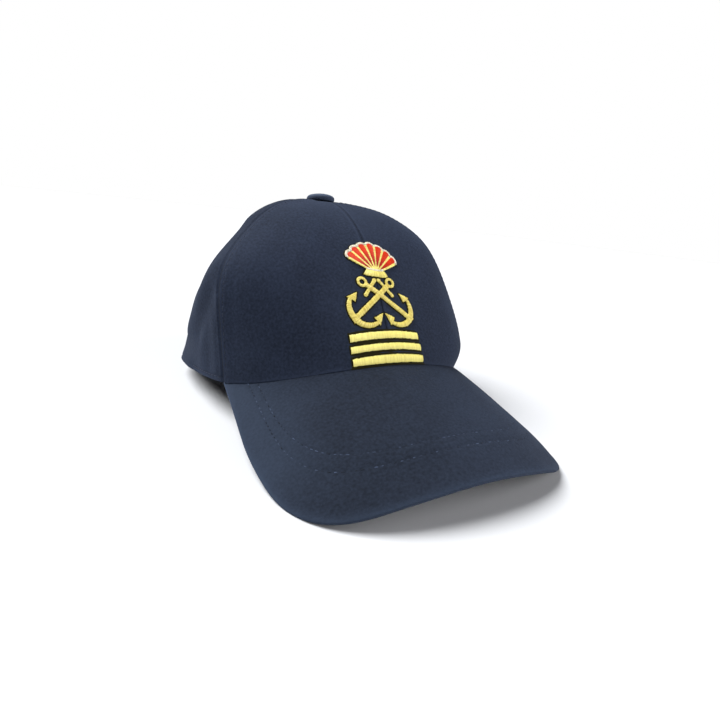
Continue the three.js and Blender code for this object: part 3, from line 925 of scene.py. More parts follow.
@dataclass
class CrownPanel:
    """One cloth panel of the crown, from the hole under the button to the hem."""

    kind: PanelKind
    hand: int
    finish: bpy.types.Material
    hole_radius: float = 1.8
    fine: int = 161
    near_seam: tuple[float, ...] = (
        0, 0.12, 0.3, 0.55, 0.85, 1.15, 1.5, 1.9, 2.2, 2.5, 2.8, 3.1, 3.6, 4.4, 5.2, 6.1, 7.2, 8.6,
    )
    near_hem: tuple[float, ...] = (
        *(0, 0.12, 0.3, 0.55, 0.8, 1.1, 1.5, 1.9),
        *(2.2, 2.5, 2.8, 3.3, 4.0, 5.0, 6.2, 7.6),
    )
    middle_columns: int = 46
    middle_rows: int = 84

    @property
    def node(self) -> str:
        """Name of the CAD node that the panel stands for."""
        return f"panel_{self.kind.value}_{'left' if self.hand > 0 else 'right'}"

    @property
    def seams(self) -> tuple[float, float]:
        """Sides of the panel's two seams in degrees, the one nearer to the front first."""
        return {
            PanelKind.FRONT: (0.0, SHAPE.front_seam),
            PanelKind.SIDE: (SHAPE.front_seam, SHAPE.back_seam),
            PanelKind.BACK: (SHAPE.back_seam, 180.0),
        }[self.kind]

    def sides_by_length(self) -> tuple[Array, Array]:
        """Shares of the panel's plan length and the sides there."""
        sides = np.radians(np.linspace(*self.seams, 400))
        run = lengths_along(np.stack(SHAPE.plan(sides), -1), 0)
        return run / run[-1], sides

    def bottom_edge(self) -> tuple[Array, Array, Array]:
        """Side and down along the panel's lower edge, which is the hem and, at the back, then the arch.

        Returns:
            Shares of the edge's length, the sides and the downs.
        """
        shares, sides = self.sides_by_length()
        if self.kind is not PanelKind.BACK:
            return shares, sides, np.ones_like(sides)
        arch = ARCH.outline(120)
        arch_side, arch_down = SHAPE.side_at(arch[:, 0], arch[:, 1])
        hem_side = sides[sides < arch_side[0] - 1e-4]
        side = np.concatenate([hem_side, arch_side])
        side[-1] = np.pi
        down = np.concatenate([np.ones_like(hem_side), arch_down])
        run = lengths_along(SHAPE.point(side, down), 0)
        return run / run[-1], side, down

    def lay(self, share: Array, level: Array) -> tuple[Array, Array]:
        """Side and down of a place on the panel: straight in both from the top edge to the lower edge.

        Args:
            share: 0 at the first seam and 1 at the last one, counted towards the wearer's left.
            level: 0 at the button and 1 at the lower edge.
        """
        own = share if self.hand > 0 else 1.0 - share
        lengths, sides = self.sides_by_length()
        edge_share, edge_side, edge_down = self.edge
        low_side = np.interp(own, edge_share, edge_side)
        low_down = np.interp(own, edge_share, edge_down)
        if self.kind is PanelKind.BACK:
            corner = self.arch_share
            top_share = np.where(
                own < corner, own * 0.62 / corner, 0.62 + (own - corner) * 0.38 / (1 - corner)
            )
            top_side = np.interp(top_share, lengths, sides)
        else:
            top_side = low_side
        side = top_side + (low_side - top_side) * level
        plan_x, plan_y = SHAPE.plan(side)
        top = self.hole_radius / (3 * SHAPE.profile(side)[..., 0] * np.hypot(plan_x, plan_y))
        return self.hand * side, top + (low_down - top) * level

    def grid(self) -> PanelGrid:
        """Places the panel's points, close together beside the seams and the hem and even between.

        A fine table of the panel gives the length down each column and across each row. Rows are placed by
        their length above the hem, and then columns by their length along each row.
        """
        self.edge = self.bottom_edge()
        on_hem = self.edge[0][self.edge[2] > 0.9999]
        self.arch_share = float(on_hem[-1])
        shares = np.linspace(0, 1, self.fine)
        levels = np.linspace(0, 1, self.fine)
        share, level = np.meshgrid(shares, levels)
        table = SHAPE.point(*self.lay(share, level))
        down_run = lengths_along(table, 0).T
        total = down_run[:, -1]
        near = np.array(self.near_hem)[:, None]
        rest = near[-1] + (total[None] - near[-1]) * np.linspace(0, 1, self.middle_rows + 1)[1:, None]
        hems = np.concatenate([np.repeat(near, self.fine, 1), rest])[::-1]
        row_levels = interp_rows((total[None] - hems).T, down_run, np.tile(levels, (self.fine, 1))).T
        row_shares = np.tile(shares, (len(hems), 1))
        run = lengths_along(SHAPE.point(*self.lay(row_shares, row_levels)), 1)
        width = run[:, -1]
        across, shrink = edge_steps(self.near_seam, self.middle_columns)(width)
        share = interp_rows(across, run, row_shares)
        level = interp_rows(share, row_shares, row_levels)
        hem = interp_rows(share, row_shares, hems)
        side, down = self.lay(share, level)
        point = SHAPE.point(side, down)
        return PanelGrid(
            side, down, across, width[:, None] - across, hem, shrink, point, SHAPE.normal(side, down)
        )

    def relief(self, grid: PanelGrid) -> Array:
        """Rise and fall of the cloth over its smooth shape, in millimetres along the normal."""
        ahead, behind = (grid.first, grid.last) if self.hand > 0 else (grid.last, grid.first)
        ahead_look, behind_look = SEAM_LOOKS[self.kind.value]
        rise = ahead_look.lift(ahead / grid.shrink) + behind_look.lift(behind / grid.shrink)
        rise -= HEM_DEPTH * round_over(grid.hem, HEM_RADIUS)
        if self.kind is not PanelKind.FRONT:
            rise -= STITCH_SINK * bump_row(grid.hem, STITCH_FROM_SEAM, STITCH_HALF_WIDTH)
        inland = smooth_step(np.minimum(grid.first, grid.last), 0.0, 7.0)
        rise += cloth_waves(grid.point) * (0.45 + 0.75 * inland)
        rise += sum(fold.lift(grid.side, grid.down) for fold in FOLDS) * inland
        return rise

    def clear_of_peak(self, points: Array, side: Array) -> Array:
        """The points, kept a gap above the peak in front and above the hem behind it."""
        over = np.abs(side) <= math.radians(SHAPE.peak_end)
        least = np.where(over, SHAPE.peak_height(points[..., 0], points[..., 1]) + SHAPE.gap, 0.0)
        kept = points.copy()
        kept[..., 2] = np.maximum(points[..., 2], least)
        return kept

    def build(self) -> bpy.types.Object:
        """Makes the panel as a closed shell of cloth."""
        grid = self.grid()
        outer = self.clear_of_peak(grid.point + grid.normal * self.relief(grid)[..., None], grid.side)
        cloth_mm = FRONT_CLOTH if self.kind is PanelKind.FRONT else SIDE_CLOTH
        inner = self.clear_of_peak(grid.point - grid.normal * cloth_mm, grid.side)
        points = np.concatenate([outer.reshape(-1, 3), inner.reshape(-1, 3)])
        faces = outward(points, shell_quads(*grid.side.shape))
        cloth = np.stack([(grid.first - grid.last) / 2, grid.hem], -1).reshape(-1, 2)
        ahead, behind = (grid.first, grid.last) if self.hand > 0 else (grid.last, grid.first)
        from_seam = np.minimum(ahead, behind)
        # Lighter on the ridge beside each seam and along the hem: partly wear, partly painted highlight.
        wear_and_highlight = 0.35 * bump_row(from_seam, 1.9, 0.6) + np.exp(-grid.hem / 1.0) * 0.6
        # Painted shade where the cloth turns in at each seam, and over the whole of the side and back
        # panels.
        painted_shade = sum(
            dark * np.exp(-((d / reach) ** 4))
            for (dark, reach), d in zip(CREASE_PAINTED_SHADE[self.kind.value], (ahead, behind))
        )
        painted_shade = painted_shade + PANEL_PAINTED_SHADE[self.kind.value]
        tone = np.clip(wear_and_highlight - painted_shade, -1, 1).ravel()
        return Piece(
            f"{self.kind.value}_panel_{'left' if self.hand > 0 else 'right'}",
            points,
            [faces],
            self.finish,
            "cloth",
            (self.node,),
            np.tile(cloth, (2, 1)),
            np.tile(tone, 2),
        ).make()


@dataclass
class StitchRun:
    """A row of machine stitches on the cap's face: short threads in line, a gap between each two."""

    pitch: float = 3.2
    length: float = 2.3
    radius: float = 0.22
    rise: float = 0.0

    def threads(
        self, curve: Callable[[Array], tuple[Array, Array]], total: float
    ) -> tuple[Array, Array, Array]:
        """Paths, normals and radii of the stitches along a curve.

        Args:
            curve: gives points and normals at distances along the row.
            total: the row's length.
        """
        starts = np.arange(self.pitch / 2, total - self.length, self.pitch)
        share = np.array([0.0, 0.14, 0.5, 0.86, 1.0])
        along = starts[:, None] + share * self.length
        points, normals = curve(along)
        lift = np.array([-0.25, 0.05, 0.12, 0.05, -0.25]) + self.rise
        radii = self.radius * np.array([0.5, 0.95, 1.0, 0.95, 0.5])
        return points + normals * lift[:, None], normals, np.broadcast_to(radii, along.shape)


def sampled_curve(points: Array, normals: Array) -> tuple[Callable[[Array], tuple[Array, Array]], float]:
    """A line of points with normals as a function of the distance along it, and its length."""
    run = lengths_along(points, 0)

    def curve(along: Array) -> tuple[Array, Array]:
        at = [np.interp(along, run, points[:, k]) for k in range(3)]
        normal = [np.interp(along, run, normals[:, k]) for k in range(3)]
        return np.stack(at, -1), unit(np.stack(normal, -1))

    return curve, float(run[-1])


def sewn_rows(
    name: str,
    rows: Sequence[tuple[Array, Array]],
    run: StitchRun,
    finish: bpy.types.Material,
    seed: int,
    sides: int = 5,
    dim: float = 1.0,
) -> bpy.types.Object:
    """Sews rows of stitches as one piece, each stitch with a tone of its own.

    Args:
        name: the piece's name.
        rows: points and normals of each row.
        run: the stitches' sizes.
        finish: the thread.
        seed: added to the seed for the tones.
        sides: points round a thread.
        dim: power that the tones are raised to; above 1 most stitches are dark.
    """
    parts = [run.threads(*sampled_curve(*row)) for row in rows]
    paths, normals, radii = (np.concatenate([p[k] for p in parts]) for k in range(3))
    points, faces = thread_tubes(paths, normals, radii, 0.8, sides)
    tone = np.random.default_rng(SEED + seed).uniform(0, 1, len(paths)) ** dim
    tone = np.repeat(tone, points.shape[0] // len(paths))
    return Piece(name, points, faces, finish, "seam_thread", tone=tone).make()


@dataclass
class CrownStitching:
    """Rows of topstitching along both sides of the crown's seams and round its hem."""

    finish: bpy.types.Material
    run: StitchRun = field(default_factory=StitchRun)

    def seam_rows(self) -> list[tuple[Array, Array]]:
        """Points and normals down each row beside the seams that are topstitched."""
        rows = []
        arch_top = float(SHAPE.side_at(np.array([0.01]), np.array([ARCH.height + 5.5]))[1][0])
        # Seam side, which way the row lies from it, how far down it goes, and the panel's look there.
        plan = [
            (SHAPE.front_seam, -1, 1.0, SEAM_LOOKS["front"][1]),
            (SHAPE.back_seam, -1, 1.0, SEAM_LOOKS["side"][1]),
            (180.0, -1, arch_top, SEAM_LOOKS["back"][1]),
        ]
        for seam, way, low, look in plan:
            down = np.linspace(0.03, 0.995, 240) * low
            for hand in (1, -1):
                turn = self.near_back(down) if seam == 180.0 else self.near_seam(seam, way, down)
                side = hand * (math.radians(seam) + way * turn)
                points, normal = SHAPE.point(side, down), SHAPE.normal(side, down)
                lift = cloth_waves(points) * 0.6 + float(look.lift(np.array([STITCH_FROM_SEAM]))[0])
                kept = np.hypot(points[:, 0], points[:, 1]) > 10.5
                rows.append(((points + normal * lift[:, None])[kept], normal[kept]))
        return rows

    def near_seam(self, seam: float, way: int, down: Array) -> Array:
        """Turn from a seam to the stitch row beside it, at each down."""
        base, step = math.radians(seam), 0.01
        middle = SHAPE.point(np.full_like(down, base), down)
        beside = SHAPE.point(np.full_like(down, base + way * step), down)
        return step * STITCH_FROM_SEAM / np.linalg.norm(beside - middle, axis=-1)

    def near_back(self, down: Array) -> Array:
        """Turn from the back seam, where the oval's sides start steeply, to the row beside it."""
        turns = np.linspace(0, 0.5, 200)
        side, level = np.meshgrid(np.pi - turns, down)
        run = lengths_along(SHAPE.point(side, level), 1)
        target = np.full((len(down), 1), STITCH_FROM_SEAM)
        return interp_rows(target, run, np.tile(turns, (len(down), 1)))[:, 0]

    def hem_rows(self) -> list[tuple[Array, Array]]:
        """Points and normals along the hem from the peak's end to the arch, on both hands."""
        rows = []
        last = float(SHAPE.side_at(np.array([ARCH.width / 2 + 6]), np.array([1.0]))[0][0])
        for hand in (1, -1):
            side = hand * np.linspace(math.radians(SHAPE.front_seam + 1.5), last, 260)
            pace = np.linalg.norm(
                SHAPE.point(side, np.full_like(side, 0.99)) - SHAPE.point(side, 1.0), axis=-1
            )
            down = 1.0 - 0.01 * STITCH_FROM_SEAM / pace
            normal = SHAPE.normal(side, down)
            points = SHAPE.point(side, down)
            points = points + normal * (cloth_waves(points) * 0.6 - STITCH_SINK)[:, None]
            rows.append((points, normal))
        return rows

    def build(self) -> bpy.types.Object:
        """Makes all the rows as one piece."""
        return sewn_rows("crown_stitching", self.seam_rows() + self.hem_rows(), self.run, self.finish, 0)


# Peak


@dataclass(frozen=True)
class PeakRow:
    """Half of a stitch row on the peak in plan: a cubic from the front centre to the hem."""

    front_y: float
    controls: tuple[tuple[float, float], ...]

    def curve(self, count: int) -> Array:
        """The whole row in plan from the wearer's right to the left, evenly spaced."""
        t = np.linspace(0, 1, 300)
        points = np.array([(0.0, self.front_y), (self.controls[0][0], self.front_y), *self.controls[1:]])
        half = bezier(points, t)
        whole = np.concatenate([half[::-1] * [-1, 1], half[1:]])
        return even_points(whole, count)


PEAK_ROWS = (
    PeakRow(-144.4, ((64.5, 0.0), (66.5, -115.3), (63.5, -67.0))),
    PeakRow(-150.3, ((79.7, 0.0), (67.9, -112.6), (67.0, -62.0))),
)


@dataclass
class Peak:
    """The stiff peak in its cloth cover: two stitched rows on top and a seam round the edge."""

    finish: bpy.types.Material
    thread: bpy.types.Material
    thickness: float = 3.0
    margin: float = 2.6
    columns: int = 311
    rows: int = 98
    edge_rows: int = 17
    groove_depth: float = 0.34
    groove_half_width: float = 0.85
    stitch_pitch: float = 2.7
    puff: float = 0.22
    edge_seam_turn: float = -22.0
    edge_square: float = 3.2
    front_pull: float = 0.7
    corner_pull: float = 0.3
    side_pull: float = -0.7
    front_thinning: float = 0.8
    corner_thinning: float = 0.7
    thinning_reach: float = 9.0

    def row_distance(self, x: Array, y: Array, row: PeakRow) -> tuple[Array, Array]:
        """Distance in plan from each place to a stitch row, and where along the row it is nearest."""
        curve = row.curve(500)
        run = lengths_along(curve, 0)
        near, along = [], []
        for block in np.array_split(np.stack([x.ravel(), y.ravel()], -1), 30):
            away = np.linalg.norm(block[:, None] - curve[None], axis=-1)
            near.append(away.min(1))
            along.append(run[away.argmin(1)])
        return np.concatenate(near).reshape(x.shape), np.concatenate(along).reshape(x.shape)

    def top_relief(self, x: Array, y: Array) -> Array:
        """Grooves along the stitch rows, the cloth puffed between them, and slow waves.

        A groove is deeper where a stitch goes down:
        depth * (0.8 + 0.3 sin(2 pi s / pitch) + 0.2 sin(2 pi s / 6.3)).
        """
        rise = np.zeros_like(x)
        measured = [self.row_distance(x, y, row) for row in PEAK_ROWS]
        for distance, along in measured:
            pucker = (
                0.8
                + 0.3 * np.sin(2 * np.pi * along / self.stitch_pitch)
                + 0.2 * np.sin(2 * np.pi * along / 6.3)
            )
            rise -= self.groove_depth * pucker * bump_row(distance, 0.0, self.groove_half_width)
        both = measured[0][0] + measured[1][0]
        between = np.exp(-(((both - 6.0) / 3.0) ** 2)) * (both < 20)
        rise += self.puff * between
        return rise + 0.5 * cloth_waves(np.stack([x, y, np.zeros_like(x)], -1))

    def build(self) -> list[bpy.types.Object]:
        """Makes the cover as one closed skin and its stitches as another piece."""
        half = self.thickness / 2
        across = np.linspace(-1, 1, self.columns)
        across = np.sign(across) * (0.82 * np.abs(across) + 0.18 * np.abs(across) ** 2)
        rim_x, rim_y = SHAPE.plan(across * math.radians(SHAPE.peak_end))
        rim = np.stack([rim_x, rim_y], -1)
        inner = rim * (1 - self.margin / np.linalg.norm(rim, axis=-1, keepdims=True))
        edge = SHAPE.peak_outline(across)
        way = unit(inner - edge)
        # The outline is drawn in a little where the edge is thinner, in front, and let out along the sides.
        in_front = 1 - smooth_step(np.abs(edge[:, 0]), 38.0, 60.0)
        at_corner = (1 - in_front) * smooth_step(-edge[:, 1], 95.0, 120.0)
        at_side = (1 - in_front - at_corner) * smooth_step(-edge[:, 1], 48.0, 62.0)
        pulls = self.front_pull * in_front + self.corner_pull * at_corner + self.side_pull * at_side
        edge = edge + way * pulls[:, None]
        span = np.linalg.norm(inner - edge, axis=-1, keepdims=True)
        # The end of the peak is narrow, so its edge keeps the share of it that it has in the middle.
        radius = np.minimum(half, span[:, 0] * 0.5)
        turn = np.radians(np.linspace(90, -90, self.edge_rows + 2))[1:-1]
        out_share = np.linspace(0, 1, self.rows) ** 0.85
        top_off = radius[:, None] + (span[:, :1] - radius[:, None]) * (1 - out_share[None])
        power = 2 / self.edge_square
        edge_off = radius[:, None] * (1 - np.cos(turn) ** power)[None]
        rise = (np.sign(np.sin(turn)) * np.abs(np.sin(turn)) ** power)[None]
        offset = np.concatenate([top_off, edge_off, top_off[:, ::-1]], 1)
        flat_part = np.full((self.columns, self.rows), half)
        height = np.concatenate(
            [flat_part, rise * np.minimum(half, np.maximum(radius, 0.3))[:, None], -flat_part], 1
        )
        # Thinner towards the edge: from below in the middle, and from above at the corners
        # that touch the floor.
        near_edge = 1 - smooth_step(offset, 0.0, self.thinning_reach)
        share = (height / half + 1) / 2
        height = height + (1 - share) * self.front_thinning * in_front[:, None] * near_edge
        height = height - share * self.corner_thinning * at_corner[:, None] * near_edge
        x = edge[:, :1] + way[:, :1] * offset
        y = edge[:, 1:] + way[:, 1:] * offset
        normal = SHAPE.peak_normal(x, y)
        middle = np.stack([x, y, SHAPE.peak_height(x, y)], -1) - normal * half
        relief = np.zeros_like(x)
        inland = smooth_step(offset[:, : self.rows], 1.0, 6.0)
        inland = inland * smooth_step(span - offset[:, : self.rows], 2.0, 6.0)
        relief[:, : self.rows] = self.top_relief(x[:, : self.rows], y[:, : self.rows]) * inland
        points = middle + normal * (height + relief)[..., None]
        # The edge seam draws the cover in along a line just below the middle of the edge.
        seam = bump_row(np.degrees(turn), self.edge_seam_turn, 13.0) * 0.4
        pull = np.concatenate([way, np.zeros((self.columns, 1))], -1)[:, None, :] * seam[None, :, None]
        points[:, self.rows : self.rows + self.edge_rows] += pull
        flat, faces = ring_skin(points)
        run_out = lengths_along(points, 1)
        place = np.stack([x, np.where(height > 0, y, run_out - run_out.max() / 2)], -1).reshape(-1, 2)
        # Lighter along the edge, partly wear and partly painted highlight, and painted light over both
        # sides of the peak.
        from_edge = np.where(height > -half * 0.5, offset, 9.0)
        painted_side_light = 0.32 * smooth_step(np.abs(x), 42.0, 78.0) * smooth_step(y, -150.0, -115.0) * (height > 0)
        tone = np.clip(0.45 * np.exp(-from_edge / 1.6) + painted_side_light, 0, 1).ravel()
        cover = Piece(
            "peak_cover", flat, faces, self.finish, "peak", ("peak",), place, tone, crease_degrees=70
        ).make()
        return [cover, self.stitches()]

    def stitches(self) -> bpy.types.Object:
        """The two rows of stitches, each thread pulled into its groove at both ends."""
        run = StitchRun(pitch=self.stitch_pitch, length=1.8, radius=0.27, rise=0.03)
        rows = []
        for row in PEAK_ROWS:
            plan = row.curve(600)
            hem = np.linalg.norm(plan / [SHAPE.half_width, SHAPE.front_length], axis=-1)
            plan = plan[hem > 1.015]
            x, y = plan[:, 0], plan[:, 1]
            normal = SHAPE.peak_normal(x, y)
            base = np.stack([x, y, SHAPE.peak_height(x, y)], -1)
            wave = 0.5 * cloth_waves(np.stack([x, y, np.zeros_like(x)], -1))
            lift = wave - self.groove_depth * 0.75
            rows.append((base + normal * lift[:, None], normal))
        return sewn_rows("peak_stitching", rows, run, self.thread, 1, sides=6, dim=1.6)


# Button, strap and arch


@dataclass
class TopButton:
    """Metal button under cloth: a low dome whose cloth is gathered beneath, on its hidden shank."""

    finish: bpy.types.Material
    diameter: float = 18.0
    height: float = 4.9
    shank: float = 3.0
    cloth_below: float = 2.0
    round_steps: int = 96

    def build(self) -> bpy.types.Object:
        """Turns the button's outline round its axis, with faint pleats where the cloth goes under."""
        radius, base = self.diameter / 2, SHAPE.height + SHAPE.gap
        # Share of the radius and of the height, from the shank's end round the rim to the top.
        outline = np.array(
            [
                (self.shank / 2 / radius, -(self.cloth_below + SHAPE.gap) / self.height),
                (self.shank / 2 / radius, 0.0),
                (0.55, 0.0),
                (0.86, 0.01),
                (0.95, 0.08),
                (0.99, 0.2),
                (1.0, 0.34),
                (0.985, 0.5),
                (0.94, 0.64),
                (0.87, 0.75),
                (0.76, 0.84),
                (0.6, 0.91),
                (0.42, 0.96),
                (0.22, 0.99),
                (0.06, 1.0),
            ]
        )
        fine = even_points(outline, 46)
        turn = np.arange(self.round_steps) * (2 * np.pi / self.round_steps)
        share, rise = fine[:, :1], fine[:, 1:]
        pleat = 0.012 * np.sin(18 * turn)[None]
        pleat = pleat * (1 - smooth_step(rise, 0.1, 0.5)) * smooth_step(share, 0.3, 0.9)
        ring = radius * share * (1 + pleat)
        dimple = 0.05 * np.sin(3 * turn + 0.7)[None] * smooth_step(rise, 0.6, 0.95) * share
        z = base + self.height * rise + dimple
        points = np.stack([ring * np.cos(turn), ring * np.sin(turn), np.broadcast_to(z, ring.shape)], -1)
        flat, faces = ring_skin(points)
        cloth = flat[:, :2] + 0.6 * flat[:, 2:]
        tone = (0.5 * bump_row(rise, 0.72, 0.16) * np.ones_like(ring)).ravel()
        return Piece(
            "covered_button", flat, faces, self.finish, "button", ("top_button",), cloth, tone
        ).make()


@dataclass
class BackStrap:
    """One plain cloth band across the opening, its ends in the back panels, stitched at both edges."""

    finish: bpy.types.Material
    thread: bpy.types.Material
    height: float = 22.0
    lift: float = 2.5
    overlap: float = 12.0
    thickness: float = 1.8
    row_inset: float = 2.2
    panel_cloth: float = SIDE_CLOTH
    columns: int = 121
    rows: int = 31

    def face(self, x: Array, z: Array) -> tuple[Array, Array]:
        """Outer face of the strap and its level normal, just inside the crown's wall."""
        side, down = SHAPE.side_at(x, z)
        wall = SHAPE.point(side, down)
        scale = np.array([SHAPE.half_width**2, SHAPE.back_length**2, np.inf])
        normal = unit(wall / scale)
        return wall - normal * (self.panel_cloth + 2 * SHAPE.gap), normal

    def build(self) -> list[bpy.types.Object]:
        """Makes the band with rounded long edges, and its two rows of stitches."""
        reach = ARCH.width / 2 + self.overlap
        across = np.linspace(-reach, reach, self.columns)
        up = 0.5 - 0.5 * np.cos(np.linspace(0, np.pi, self.rows))
        x, share = np.meshgrid(across, up)
        z = self.lift + share * self.height
        outer, normal = self.face(x, z)
        edge = np.minimum(share, 1 - share) * self.height
        round_off = round_over(edge, 0.9) * self.thickness * 0.45
        groove = 0.22 * bump_row(edge, self.row_inset, STITCH_HALF_WIDTH)
        front = outer - normal * (round_off + groove)[..., None]
        back = outer - normal * (self.thickness - round_off)[..., None]
        points = np.concatenate([front.reshape(-1, 3), back.reshape(-1, 3)])
        faces = outward(points, shell_quads(*x.shape))
        cloth = np.stack([x, z], -1).reshape(-1, 2)
        tone = (0.5 * np.exp(-edge / 0.8)).ravel()
        band = Piece(
            "plain_back_strap",
            points,
            [faces],
            self.finish,
            "strap",
            ("back_strap",),
            np.tile(cloth, (2, 1)),
            np.tile(tone, 2),
        ).make()
        rows = []
        for height in (self.lift + self.row_inset, self.lift + self.height - self.row_inset):
            line = np.linspace(-reach + 2, reach - 2, 200)
            point, level = self.face(line, np.full_like(line, height))
            rows.append((point - level * 0.2, level))
        return [band, sewn_rows("strap_stitching", rows, StitchRun(), self.thread, 2)]


@dataclass
class ArchBinding:
    """Tape folded over the edge of the back opening, stitched through both layers."""

    finish: bpy.types.Material
    thread: bpy.types.Material
    width: float = 6.5
    tape: float = 0.55
    panel_cloth: float = SIDE_CLOTH
    columns: int = 181

    def section(self) -> Array:
        """The tape's outer section: distance from the cut edge, and height over the panel's middle."""
        half = self.panel_cloth / 2 + self.tape
        turn = np.radians(np.linspace(90, 270, 13))
        bend = np.stack([half * np.cos(turn), half * np.sin(turn)], -1)
        away = np.array([self.width, self.width - 0.15, self.width - 0.5, 4.6, 3.4, 2.9, 2.4, 1.9, 1.0])
        dip = np.array([self.tape, 0.2, 0.0, 0.0, 0.03, 0.14, 0.03, 0.0, 0.0])
        top = np.stack([away, half - dip], -1)
        return np.concatenate([top, bend, top[::-1] * [1, -1]])

    def line(self, offset: Array) -> tuple[Array, Array]:
        """Rows of points and normals along the arch, each row a distance outside the opening's edge."""
        halves = np.stack([ARCH.outline(self.columns // 2 + 1, float(d)) for d in offset])
        whole = np.concatenate([halves[:, :-1], halves[:, ::-1] * [-1, 1]], 1)
        side, down = SHAPE.side_at(whole[..., 0], whole[..., 1])
        points, normals = SHAPE.point(side, down), SHAPE.normal(side, down)
        return points + normals * (0.35 * cloth_waves(points))[..., None], normals

    def build(self) -> list[bpy.types.Object]:
        """Carries the section round the arch, and sets one row of stitches on each face."""
        section = self.section()
        base, normals = self.line(np.maximum(section[:, 0], 0.0))
        inward_edge, _ = self.line(np.array([0.0, 1.5]))
        out = unit(inward_edge[1] - inward_edge[0])
        beyond = np.minimum(section[:, 0], 0.0)
        height = np.broadcast_to(section[:, 1:] - self.panel_cloth / 2, base.shape[:2])
        height = height - (height > -0.3) * HEM_DEPTH * round_over(base[..., 2], HEM_RADIUS * 1.6)
        points = base + out[None] * beyond[:, None, None] + normals * height[..., None]
        points = np.swapaxes(points, 0, 1)
        points[..., 2] = np.maximum(points[..., 2], 0.0)
        flat, faces = ring_skin(points)
        run = lengths_along(points, 0)
        around = np.broadcast_to(
            np.cumsum(np.r_[0, np.linalg.norm(np.diff(section, axis=0), axis=1)]), run.shape
        )
        cloth = np.stack([run * 0.7 + around * 0.7, around * 0.7 - run * 0.7], -1).reshape(-1, 2)
        tone = np.zeros(len(flat))
        tape = Piece("arch_binding", flat, faces, self.finish, "cloth", cloth=cloth, tone=tone).make()
        row, row_normals = self.line(np.array([2.4]))
        lift = self.tape - 0.12
        outside = row[0] + row_normals[0] * lift, row_normals[0]
        inside = row[0] - row_normals[0] * (self.panel_cloth + lift), -row_normals[0]
        return [tape, sewn_rows("arch_stitching", [outside, inside], StitchRun(rise=0.06), self.thread, 3)]


# Badge


@dataclass
class FrontCloth:
    """Lays flat badge shapes on the front of the crown.

    A place is (a, b) in millimetres: a along the cloth from the centre seam towards the wearer's left at
    one level, and b up the centre line from the hem.
    """

    reach: float = 34.0

    def __post_init__(self) -> None:
        """Makes the tables: down by height b, and side by (down, a)."""
        self.downs = np.linspace(0.3, 1.0, 141)
        sides = np.radians(np.linspace(-36, 36, 289))
        fine = np.linspace(0, 1, 801)
        run = lengths_along(SHAPE.point(np.zeros_like(fine), fine), 0)
        self.heights, self.levels = (run[-1] - run)[::-1], fine[::-1]
        grid_side, grid_down = np.meshgrid(sides, self.downs)
        across = lengths_along(SHAPE.point(grid_side, grid_down), 1)
        across = across - across[:, [len(sides) // 2]]
        self.marks = np.linspace(-self.reach, self.reach, 273)
        rows = len(self.downs)
        self.sides = interp_rows(np.tile(self.marks, (rows, 1)), across, np.tile(sides, (rows, 1)))

    def place(self, a: Array, b: Array) -> tuple[Array, Array]:
        """Point on the cloth and its normal, between the tables' four nearest entries."""
        down = np.interp(b, self.heights, self.levels)
        row = np.clip((down - self.downs[0]) / (self.downs[1] - self.downs[0]), 0, len(self.downs) - 1.001)
        column = np.clip((a + self.reach) / (self.marks[1] - self.marks[0]), 0, len(self.marks) - 1.001)
        i, j = row.astype(int), column.astype(int)
        u, v = row - i, column - j
        table = self.sides
        side = (
            table[i, j] * (1 - u) * (1 - v)
            + table[i + 1, j] * u * (1 - v)
            + table[i, j + 1] * (1 - u) * v
            + table[i + 1, j + 1] * u * v
        )
        point, normal = SHAPE.point(side, down), SHAPE.normal(side, down)
        lift = cloth_waves(point) * (0.45 + 0.55 * smooth_step(np.abs(a), 0.0, 7.0)) + 0.03
        return point + normal * lift[..., None], normal


